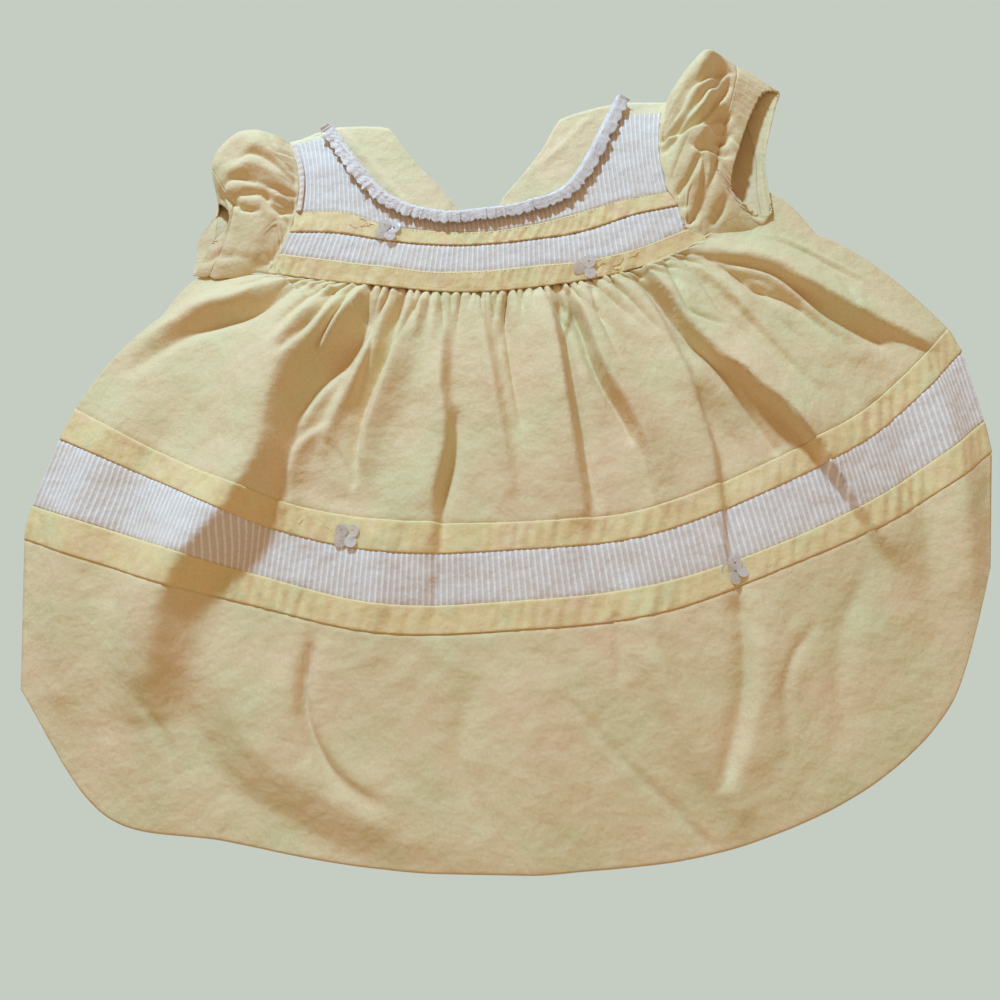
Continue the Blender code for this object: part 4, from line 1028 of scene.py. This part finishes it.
def cloth_piece(name, points, thickness, finish, maps=None, closed=False, plain=None):
    """A thin shell of cloth laid on a grid of points (rows by columns), in millimetres.

    maps adds to the thread map or replaces it, by name. A closed grid joins its last column to
    its first. plain is 1 where tucked cloth has no tucks.
    """
    rows, columns = points.shape[:2]
    index = np.arange(rows * columns).reshape(rows, columns)
    right = np.roll(index, -1, axis=1) if closed else index[:, 1:]
    left = index if closed else index[:, :-1]
    quads = np.stack([left[:-1], right[:-1], right[1:], left[1:]], axis=-1).reshape(-1, 4)
    mesh = bpy.data.meshes.new(name)
    mesh.from_pydata(to_metres(points.reshape(-1, 3)), [], quads)
    corners = np.empty(len(mesh.loops), np.int32)
    mesh.loops.foreach_get("vertex_index", corners)
    for label, values in {"threads": thread_map(points), **(maps or {})}.items():
        values = values.reshape(-1, 2)[corners].astype(np.float32)
        mesh.uv_layers.new(name=label).data.foreach_set("uv", values.ravel())
    if plain is not None:
        mesh.attributes.new("plain", "FLOAT", "POINT").data.foreach_set(
            "value", plain.astype(np.float32).ravel())
    mesh.materials.append(material(finish))
    mesh.shade_smooth()
    piece = bpy.data.objects.new(name, mesh)
    bpy.context.scene.collection.objects.link(piece)
    wall = piece.modifiers.new("thickness", "SOLIDIFY")
    wall.thickness = thickness * MM
    wall.offset = -1.0
    return piece


def declare(piece, node, slot, flat, held, area=None):
    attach(piece, "root")
    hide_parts(node)


def stations(plan, u, panel):
    """Line numbers of a panel's rows, closer at its two edges, and each row's edge distances."""
    low_span, high_span = (
        np.linalg.norm(plan(u, line + 0 * u) - plan(u, line + step + 0 * u), axis=-1) / PLAN_STEP
        for line, step in ((panel.low, PLAN_STEP), (panel.high, -PLAN_STEP))
    )
    low_reach, high_reach = (UNDER_REACH if under else -SEAM_GAP for under in panel.under)
    t = np.linspace(0, 1, panel.rows)[:, None]
    t = t + EDGE_CROWDING * (0.5 - 0.5 * np.cos(math.pi * t) - t)
    start = panel.low - low_reach / low_span
    v = start + (panel.high + high_reach / high_span - start) * t
    return v, ((v - panel.low) * low_span, (panel.high - v) * high_span)


def seam_drop(edges, unders):
    """How far a panel's two edges sink: under a neighbour, or rolled over at a seam."""
    drop = 0.0
    for away, under in zip(edges, unders):
        if under:
            drop = drop + UNDER_DROP * smooth(1 - (away + 0.2) / 1.2)
        else:
            drop = drop + EDGE_ROLL * smooth(1 - away / EDGE_ROLL_WIDE) ** 2
    return drop


def band_ripple(x, t):
    """Slanting puckers of a doubled band, uneven in spacing and depth."""
    wave = np.sin(0.9 * x + 2.5 * t + 4 * np.sin(x / 17))
    wave = wave + 0.8 * np.sin(0.55 * x - 2 * t + 1 + 4 * np.sin(x / 41))
    wave = wave + 0.5 * np.sin(1.6 * x + 3 * np.sin(x / 23 + 3 * t))
    patch = 0.55 + 0.45 * np.sin(x / 32 + 2) * np.sin(x / 13)
    return BAND_PUCKER * wave * patch * np.sin(math.pi * np.clip(t, 0.02, 0.98)) ** 0.5


def build_panel(panel, plan, height, cloth, plain_top=(0.0, 0.0)):
    """One front panel on its plan and height; plain_top is its plain strip on each shoulder."""
    s, _ = grid(panel.columns + 1, panel.rows)
    u = 2 * s - 1
    v, edges = stations(plan, u[0], panel)
    xy = plan(u, v)
    z = height(u, v, xy) + panel.raised - seam_drop(edges, panel.under)
    plain, maps = None, {}
    if panel.tucks:
        away = np.linalg.norm(xy - xy[-1:], axis=-1)
        strip = np.where(u > 0, plain_top[1], plain_top[0])
        shoulder = (np.abs(u) > NECK_SHARE) & (strip > 0)
        plain = np.where(shoulder, smooth(1 - (away - strip) / 0.6), 0.0)
        tuck = np.maximum(np.cos(2 * math.pi * panel.tucks * s), TUCK_GROUND)
        z = z + cloth.tuck_height * tuck * (1 - plain)
    elif panel.raised:
        z = z + band_ripple(xy[..., 0], (v - panel.low) / (panel.high - panel.low))
    points = with_height(xy, z)
    if panel.tucks:
        maps["tucks"] = np.stack([panel.tucks * s, lengths(points, 0) / 2.5], axis=-1)
    piece = cloth_piece(panel.node + "_cloth", points, cloth.thickness, panel.slot, maps,
                        plain=plain)
    declare(piece, panel.node, panel.slot, panel.flat, panel.held, panel.area)


def color_prop(label, text, value):
    return bpy.props.FloatVectorProperty(
        name=label, description=text, subtype="COLOR", size=3, min=0, max=1, default=value)


class DressCloth(bpy.types.PropertyGroup):
    """Sizes and colours of the cloth."""

    thickness: bpy.props.FloatProperty(
        name="Cloth thickness (mm)", description="Thickness of every cotton shell",
        default=0.5, min=0.2, max=1.2)
    tuck_height: bpy.props.FloatProperty(
        name="Tuck height (mm)", description="How far each fine tuck stands up",
        default=0.16, min=0.0, max=0.8)
    weave_depth: bpy.props.FloatProperty(
        name="Weave depth (mm)", description="Depth of the woven threads",
        default=0.05, min=0.0, max=0.2)
    crumple: bpy.props.FloatProperty(
        name="Crumple (mm)", description="Depth of the cotton's slight crumple",
        default=1.35, min=0.0, max=2.0)
    roughness: bpy.props.FloatProperty(
        name="Roughness", description="How matt the cotton is", subtype="FACTOR",
        default=0.8, min=0, max=1)
    sheen: bpy.props.FloatProperty(
        name="Sheen", description="Soft shine of the cotton's fibres", subtype="FACTOR",
        default=0.15, min=0, max=1)
    mottle: bpy.props.FloatProperty(
        name="Mottle", description="How much the cotton's colour is clouded",
        subtype="FACTOR", default=0.8, min=0, max=1)
    cotton_color: color_prop("Cotton", "Colour of the skirt and sleeves", (0.82, 0.65, 0.39))
    band_color: color_prop("Bands", "Colour of the doubled bands", (0.87, 0.66, 0.34))
    back_color: color_prop("Back", "Colour of the back of the bodice", (0.90, 0.71, 0.45))
    facing_color: color_prop("Shoulder facing", "Colour of the plain shoulder strip",
                             (0.88, 0.76, 0.52))
    warm_tint: color_prop("Warm tint", "Pinkish clouds in the cotton", (0.86, 0.61, 0.39))
    cool_tint: color_prop("Cool tint", "Greenish clouds in the cotton", (0.72, 0.67, 0.38))
    voile_ground: color_prop("Voile", "Colour of the voile between tucks", (0.74, 0.64, 0.61))
    voile_warm: color_prop("Voile tint", "Warm clouds in the voile", (0.84, 0.70, 0.58))
    voile_tuck: color_prop("Tucks", "Colour of the raised tucks", (0.93, 0.86, 0.82))


class DressTrim(bpy.types.PropertyGroup):
    """Sizes and colours of lace, binding, stitching and sequins."""

    lace_reach: bpy.props.FloatProperty(
        name="Lace reach (mm)", description="How far the lace leans out over the yoke",
        default=7.0, min=4, max=16)
    lace_rise: bpy.props.FloatProperty(
        name="Lace rise (mm)", description="How high the lace stands", default=2.4, min=0, max=12)
    lace_ruffles: bpy.props.IntProperty(
        name="Lace ruffles", description="Ruffles of the gathered lace", default=26, min=6, max=60)
    lace_thread: color_prop("Lace thread", "Colour of the lace", (0.90, 0.80, 0.79))
    # The lace's painted shade: a darker colour laid on the open net round its holes, where the
    # worked spots thin out.
    lace_painted_shade: color_prop("Lace shade", "Colour of the lace's denser spots", (0.72, 0.60, 0.57))
    piping_color: color_prop("Binding", "Colour of the armhole binding", (0.84, 0.68, 0.62))
    thread_color: color_prop("Thread", "Colour of stitches and stems", (0.92, 0.74, 0.50))
    sequin_color: color_prop("Sequins", "Colour of the clear sequins", (0.84, 0.74, 0.71))
    sequin_cover: bpy.props.FloatProperty(
        name="Sequin cover", description="How much of the cloth a sequin hides",
        subtype="FACTOR", default=0.6, min=0, max=1)
    sequin_radius: bpy.props.FloatProperty(
        name="Sequin radius (mm)", description="Radius of one sequin", default=3.3, min=1, max=5)
    stitch_pitch: bpy.props.FloatProperty(
        name="Stitch spacing (mm)", description="Spacing of the visible stitches",
        default=1.9, min=1, max=4)


class DressStage(bpy.types.PropertyGroup):
    """Light and surface."""

    lamp_power: bpy.props.FloatProperty(
        name="Lamp power", description="Power of the lamp", subtype="POWER",
        default=74.0, min=0, max=1000)
    lamp_distance: bpy.props.FloatProperty(
        name="Lamp distance", description="From the dress's middle to the lamp",
        subtype="DISTANCE", default=1.3, min=0.5, max=20)
    lamp_elevation: bpy.props.FloatProperty(
        name="Lamp elevation", description="Height of the lamp above the surface",
        subtype="ANGLE", default=math.radians(33), min=0.1, max=1.5)
    lamp_heading: bpy.props.FloatProperty(
        name="Lamp heading", description="Direction in which shadows fall, from +X",
        subtype="ANGLE", default=math.radians(-76), min=-math.pi, max=math.pi)
    lamp_size: bpy.props.FloatProperty(
        name="Lamp size", description="Radius of the lamp", subtype="DISTANCE",
        default=0.06, min=0.001, max=1)
    lamp_color: color_prop("Lamp colour", "Colour of the lamp", (0.42, 0.74, 1.0))
    fill_strength: bpy.props.FloatProperty(
        name="Fill", description="Strength of the light from all round", default=1.0,
        min=0, max=4)
    fill_color: color_prop("Fill colour", "Colour of the light from all round",
                           (0.46, 0.33, 0.20))
    floor_color: color_prop("Surface", "Colour of the surface below", (0.558, 0.610, 0.546))


class DRESS_OT_skirt(bpy.types.Operator):
    """Build the front and back of the skirt"""

    bl_idname = "dress.skirt"
    bl_label = "Skirt"

    def execute(self, context):
        for panel in SKIRT_PANELS:
            build_panel(panel, skirt_plan, skirt_height, context.scene.dress_cloth)
        u, v = grid(101, 51, (-1, 1), BACK_LINES)
        points = with_height(skirt_plan(u, v), np.full(u.shape, BACK_TOP))
        piece = cloth_piece("skirt_back_cloth", points, BACK_TOP, "yellow_cotton")
        declare(piece, "skirt_back", "yellow_cotton", (0.50, 0.265), "laid")
        return {"FINISHED"}


class DRESS_OT_bodice(bpy.types.Operator):
    """Build the yoke and the two halves of the back bodice"""

    bl_idname = "dress.bodice"
    bl_label = "Bodice"

    def execute(self, context):
        for panel in YOKE_PANELS:
            plain = SHOULDER_STRIP if panel.node == "yoke_upper" else (0.0, 0.0)
            build_panel(panel, yoke_plan, yoke_height, context.scene.dress_cloth, plain)
        s, t = grid(81, 55)
        r = np.interp(t, BODICE_KNOTS, range(5))
        for node, first, top in (
            ("back_bodice_right", -1, BACK_RIGHT_TOP),
            ("back_bodice_left", 0, BACK_LEFT_TOP),
        ):
            u = first + s * (1 - PLACKET_SHARE) + (first + 1) * PLACKET_SHARE
            edge = (polyline(top, u - first) + curve(top, u - first)) / 2
            xy = bodice_plan(u, r, edge)
            x, y = xy[..., 0], xy[..., 1]
            z = BACK_TOP + BACK_RAISED + BACK_LOFT * (1 + unevenness(x, y))
            z = z + sum(fold_height(x, y, crease) for crease in BACK_CREASES)
            piece = cloth_piece(node + "_cloth", with_height(xy, z), BACK_TOP, "back_cotton")
            declare(piece, node, "yellow_cotton", (0.105, 0.1), "laid", area=0.0075)
        return {"FINISHED"}


class DRESS_OT_sleeves(bpy.types.Operator):
    """Build the two puff sleeves and their ends beyond the casing"""

    bl_idname = "dress.sleeves"
    bl_label = "Sleeves"

    def execute(self, context):
        for word, cuff in (("right", (0.105, 0.011)), ("left", (0.13, 0.0125))):
            for part, low, high, rows, flat in (
                ("sleeve_", 0.0, CUFF_START, 84, (0.17, 0.05)),
                ("cuff_", CUFF_START, 1.0, 22, cuff),
            ):
                angle, along = grid(281, rows, (0, 2 * math.pi), (low, high))
                points = sleeve_surface(*SLEEVES[word], angle[:, :-1], along[:, :-1])
                if word == "right":
                    points = points[:, ::-1]
                piece = cloth_piece(part + word + "_cloth", points,
                                    context.scene.dress_cloth.thickness, "yellow_cotton",
                                    closed=True)
                declare(piece, part + word, "yellow_cotton", flat, "gathered")
        return {"FINISHED"}


class DRESS_OT_lace(bpy.types.Operator):
    """Build the gathered lace edging of the neckline"""

    bl_idname = "dress.lace"
    bl_label = "Lace"

    def execute(self, context):
        trim = context.scene.dress_trim
        s, t = grid(901, 18)
        along = (s - 0.5) * (1 + LACE_CURL / LACE_LENGTH) + 0.5
        inside = np.clip(along, 0, 1)
        run = neckline(np.clip(inside + 0.01, 0, 1)) - neckline(np.clip(inside - 0.01, 0, 1))
        run[..., 2] = 0
        run /= np.linalg.norm(run, axis=-1, keepdims=True)
        out = np.stack([run[..., 1], -run[..., 0], 0 * s], axis=-1)
        past = (along - inside) * LACE_LENGTH
        seam = neckline(inside) + run * past[..., None]
        curl = smooth(np.abs(past) / LACE_CURL)
        phase = 2 * math.pi * trim.lace_ruffles * s
        ruffle = 0.5 * np.cos(phase + 0.9 * np.sin(phase / 5)) + 0.4 * np.cos(2.6 * phase)
        ruffle *= 1 + 0.5 * np.sin(phase / 3.3)
        scallop = LACE_SCALLOP * np.abs(np.sin(math.pi * LACE_SCALLOPS * s)) * t ** 2
        sway_out, sway_up, sway_along = (sway * t for sway in LACE_SWAY)
        reach = trim.lace_reach * t * (1 - 0.35 * curl) + sway_out * ruffle + scallop
        arch = smooth(t / 0.35) * (1 - 0.12 * t) * (1 + 0.5 * curl)
        shift = sway_along * np.sin(phase * 1.3)
        points = seam + out * (LACE_START[0] + reach)[..., None] + run * shift[..., None]
        points[..., 2] = seam[..., 2] + LACE_START[1] + trim.lace_rise * arch + sway_up * ruffle
        piece = cloth_piece("lace_edging_cloth", points[::-1], LACE_THICKNESS, "lace",
                            {"threads": thread_map(points)[::-1]})
        declare(piece, "lace_edging", "lace", (0.2, 0.012), "gathered")
        return {"FINISHED"}


class DRESS_OT_piping(bpy.types.Operator):
    """Build the folded binding beside the right armhole"""

    bl_idname = "dress.piping"
    bl_label = "Armhole binding"

    def execute(self, context):
        s, t = grid(13, 81, down=(1, 0))
        points = armhole_edge(-1.0, PIPING_SPAN[0] + (PIPING_SPAN[1] - PIPING_SPAN[0]) * t)
        points[..., 0] += PIPING_PLACE[0] + PIPING_WIDE * s
        points[..., 2] += PIPING_PLACE[1] + PIPING_SWELL * np.sin(math.pi * s)
        points[..., 2] += PIPING_PUCKER * np.sin(t * 70 + s)
        piece = cloth_piece("armhole_piping_right_cloth", points, PIPING_THICKNESS, "piping")
        declare(piece, "armhole_piping_right", "piping", (0.01, 0.042), "stretched",
                area=0.00013)
        return {"FINISHED"}


@functools.lru_cache(maxsize=None)
def front_samples():
    """Points spread closely over the whole front."""
    u, v = grid(401, 301, (-1, 1), (0, 6))
    skirt = skirt_plan(u, v)
    skirt = with_height(skirt, skirt_height(u, v, skirt))
    u, r = grid(401, 121, (-1, 1), (0, 4))
    yoke = yoke_plan(u, r)
    yoke = with_height(yoke, yoke_height(u, r, yoke))
    return np.concatenate([skirt.reshape(-1, 3), yoke.reshape(-1, 3)])


def front_near(x, y, radius):
    """The front's samples within a radius of (x, y), as (x, y, z) from that place."""
    away = front_samples() - (x, y, 0)
    return away[np.hypot(away[:, 0], away[:, 1]) < radius]


def clear_disc(radius):
    """One sequin at the origin: a dished disc with a hole."""
    bpy.ops.object.select_all(action="DESELECT")
    bpy.ops.mesh.primitive_cylinder_add(
        vertices=48, radius=radius * MM, depth=SEQUIN_THICKNESS * MM)
    disc = bpy.context.object
    bpy.ops.object.mode_set(mode="EDIT")
    bpy.ops.mesh.select_all(action="DESELECT")
    bpy.ops.mesh.select_mode(type="FACE")
    bpy.ops.object.mode_set(mode="OBJECT")
    for face in disc.data.polygons:
        face.select = len(face.vertices) > 4
    bpy.ops.object.mode_set(mode="EDIT")
    for inset, depth in SEQUIN_INSETS:
        bpy.ops.mesh.inset(thickness=inset * MM, depth=depth * MM)
    bpy.ops.mesh.bridge_edge_loops()
    bpy.ops.object.mode_set(mode="OBJECT")
    return disc


def sequin_cluster(cluster, radius):
    """Overlapping sequins round a cluster's middle, lying on the front's best plane there."""
    near = front_near(cluster.x, cluster.y, CLUSTER_RADIUS)
    rows = np.column_stack([np.ones(len(near)), near[:, :2]])
    height, slope_x, slope_y = np.linalg.lstsq(rows, near[:, 2], rcond=None)[0]
    normal = Vector((-slope_x, -slope_y, 1)).normalized()
    for index in range(cluster.discs):
        disc = clear_disc(radius * (1.0 - 0.05 * index))
        turn = math.radians(cluster.turn) + index * 2 * math.pi / cluster.discs
        x, y = CLUSTER_SPREAD * math.cos(turn), CLUSTER_SPREAD * math.sin(turn)
        z = height + slope_x * x + slope_y * y + SEQUIN_LIFT + SEQUIN_STEP * index
        lean = turn + 2
        tilt = Vector((math.cos(lean), math.sin(lean), 0)) * SEQUIN_TILT
        facing = (normal + tilt).normalized().to_track_quat("Z", "Y").to_matrix()
        place = Matrix.Translation(to_metres((cluster.x + x, cluster.y + y, z)))
        disc.data.transform(place @ facing.to_4x4())
        disc.matrix_world = Matrix.Identity(4)
        yield disc


class DRESS_OT_sequins(bpy.types.Operator):
    """Build the four clusters of clear round sequins"""

    bl_idname = "dress.sequins"
    bl_label = "Sequins"

    def execute(self, context):
        for cluster in CLUSTERS:
            discs = list(sequin_cluster(cluster, context.scene.dress_trim.sequin_radius))
            bpy.ops.object.select_all(action="DESELECT")
            for disc in discs:
                disc.select_set(True)
            context.view_layer.objects.active = discs[0]
            bpy.ops.object.join()
            piece = context.object
            piece.name = cluster.name + "_discs"
            piece.data.materials.clear()
            piece.data.materials.append(material("clear_sequin"))
            bevel = piece.modifiers.new("edges", "BEVEL")
            bevel.width = SEQUIN_BEVEL * MM
            bevel.segments = 2
            bevel.limit_method = "ANGLE"
            piece.data.shade_smooth()
            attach(piece, "root")
            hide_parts(cluster.name)
        return {"FINISHED"}


def add_run(curve_data, points):
    """One open run of thread through points in millimetres."""
    run = curve_data.splines.new("POLY")
    run.points.add(len(points) - 1)
    for point, place in zip(run.points, to_metres(points)):
        point.co = (*place, 1)
        point.radius = MM


def add_stitches(curve_data, path, pitch, normal=(0, 0, 1)):
    """Even stitches along a path, each a short thread that dives in at both ends."""
    far = np.concatenate([[0], np.cumsum(np.linalg.norm(np.diff(path, axis=0), axis=-1))])
    for start in np.arange(pitch / 2, far[-1] - pitch, pitch):
        at = start + pitch * np.array(STITCH_SHARES)
        points = np.stack([np.interp(at, far, axis) for axis in path.T], axis=-1)
        points[[0, 2]] -= STITCH_DIVE * np.asarray(normal, float)
        add_run(curve_data, points)


def thread_piece(name, radius):
    """An empty curve of round thread, attached to the root body; its points scale the radius to mm.
    """
    data = bpy.data.curves.new(name, "CURVE")
    data.dimensions = "3D"
    data.bevel_depth = radius
    data.bevel_resolution = 1
    data.use_fill_caps = True
    data.materials.append(material("thread"))
    piece = bpy.data.objects.new(name, data)
    bpy.context.scene.collection.objects.link(piece)
    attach(piece, "root")
    return data


def front_row(row):
    """Path on the front's cloth beside one of its lines."""
    skirt = row.part == "skirt"
    plan, height = (skirt_plan, skirt_height) if skirt else (yoke_plan, yoke_height)
    u = np.linspace(-0.985, 0.985, 900)
    line = u * 0 + row.line
    per_line = np.linalg.norm(plan(u, line + 0.1) - plan(u, line - 0.1), axis=-1) / 0.2
    offset = row.away if skirt else -row.away
    v = line + offset / per_line
    xy = plan(u, v)
    band = math.floor(row.line - 0.5 if offset < 0 else row.line)
    ripple = band_ripple(xy[..., 0], (v - band) % 1)
    return with_height(xy, height(u, v, xy) + BAND_RAISED + ripple + STITCH_RAISED)


def drape_on_front(points, lift):
    """A smooth path through (x, y) points, laid on the front's cloth."""
    xy = curve(points, np.linspace(0, 1, 8 * len(points)))
    z = [front_near(x, y, 1.6)[:, 2].mean() + lift for x, y in xy]
    return np.column_stack([xy, z])


class DRESS_OT_sewing(bpy.types.Operator):
    """Build the rows of stitches and the embroidered stems"""

    bl_idname = "dress.sewing"
    bl_label = "Sewing"

    def execute(self, context):
        pitch = context.scene.dress_trim.stitch_pitch
        seams = thread_piece("band_stitches", STITCH_RADIUS)
        for row in SEAM_ROWS:
            add_stitches(seams, front_row(row), pitch)
        casings = thread_piece("casing_stitches", STITCH_RADIUS)
        angle = np.linspace(0.1, math.pi - 0.1, 400)
        for sleeve in SLEEVES.values():
            for along in CASING_ROWS:
                row = sleeve_surface(*sleeve, angle, along + 0 * angle)
                add_stitches(casings, row, pitch, normal=(0.5 * sleeve[0], 0, 0.8))
        stems = thread_piece("embroidered_stems", STEM_RADIUS)
        for stem in STEMS:
            add_run(stems, drape_on_front(stem, BAND_RAISED + STEM_RAISED))
        return {"FINISHED"}


class DRESS_OT_stage(bpy.types.Operator):
    """Build the surface, the light and the camera"""

    bl_idname = "dress.stage"
    bl_label = "Stage"

    def execute(self, context):
        stage = context.scene.dress_stage
        bpy.ops.object.select_all(action="DESELECT")
        bpy.ops.mesh.primitive_plane_add(size=SURFACE_SIZE, location=(0, 0, -SURFACE_DROP))
        bpy.ops.object.transform_apply(location=True, rotation=True, scale=True)
        surface = context.object
        surface.name = "surface"
        surface.data.materials.append(new_material("surface", {
            "Base Color": (0, 0, 0, 1), "Roughness": 0.9, "Specular IOR Level": 0.0,
            "Emission Color": opaque(stage.floor_color), "Emission Strength": 1.0})[0])

        light = bpy.data.lights.new("lamp", "POINT")
        light.energy, light.color = stage.lamp_power, stage.lamp_color
        light.shadow_soft_size = stage.lamp_size
        lamp = bpy.data.objects.new("lamp", light)
        level = math.cos(stage.lamp_elevation)
        travel = Vector((math.cos(stage.lamp_heading) * level,
                         math.sin(stage.lamp_heading) * level, -math.sin(stage.lamp_elevation)))
        lamp.location = -travel * stage.lamp_distance
        context.scene.collection.objects.link(lamp)

        world = bpy.data.worlds.new("fill")
        world.use_nodes = True
        background = world.node_tree.nodes["Background"]
        background.inputs["Color"].default_value = opaque(stage.fill_color)
        background.inputs["Strength"].default_value = stage.fill_strength
        context.scene.world = world

        view = bpy.data.cameras.new("camera")
        view.lens, view.sensor_width = CAMERA_LENS, 36.0
        view.clip_start, view.clip_end = 0.01, 20.0
        camera = bpy.data.objects.new("camera", view)
        azimuth, elevation, roll = (math.radians(angle) for angle in CAMERA_ANGLES)
        back = Vector((math.sin(azimuth) * math.cos(elevation),
                       -math.cos(azimuth) * math.cos(elevation), math.sin(elevation)))
        right = (-back).cross(Vector((0, 0, 1))).normalized()
        up = right.cross(-back)
        across = math.cos(roll) * right + math.sin(roll) * up
        above = math.cos(roll) * up - math.sin(roll) * right
        turn = Matrix((across, above, back)).transposed().to_4x4()
        camera.matrix_world = Matrix.Translation(CAMERA_PLACE) @ turn
        context.scene.collection.objects.link(camera)
        context.scene.camera = camera
        context.scene.view_settings.view_transform = "Standard"
        return {"FINISHED"}


OPERATORS = (DRESS_OT_skirt, DRESS_OT_bodice, DRESS_OT_sleeves, DRESS_OT_lace, DRESS_OT_piping,
             DRESS_OT_sequins, DRESS_OT_sewing, DRESS_OT_stage)
SETTINGS = {"dress_cloth": DressCloth, "dress_trim": DressTrim, "dress_stage": DressStage}


class DRESS_PT_panel(bpy.types.Panel):
    """Lists the dress's operators and settings"""

    bl_idname = "DRESS_PT_panel"
    bl_label = "Baby dress"
    bl_space_type = "VIEW_3D"
    bl_region_type = "UI"
    bl_category = "Dress"

    def draw(self, context):
        for operator in OPERATORS:
            self.layout.operator(operator.bl_idname)
        for name in SETTINGS:
            settings = getattr(context.scene, name)
            box = self.layout.box()
            for key in type(settings).__annotations__:
                box.prop(settings, key)


def register():
    for kind in (*SETTINGS.values(), *OPERATORS, DRESS_PT_panel):
        bpy.utils.register_class(kind)
    for name, kind in SETTINGS.items():
        setattr(bpy.types.Scene, name, bpy.props.PointerProperty(type=kind))


def unregister():
    for name in SETTINGS:
        delattr(bpy.types.Scene, name)
    for kind in (DRESS_PT_panel, *OPERATORS, *SETTINGS.values()):
        bpy.utils.unregister_class(kind)


def main():
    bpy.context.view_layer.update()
    register()
    for operator in OPERATORS:
        group, name = operator.bl_idname.split(".")
        getattr(getattr(bpy.ops, group), name)()


if __name__ == "__main__":
    main()
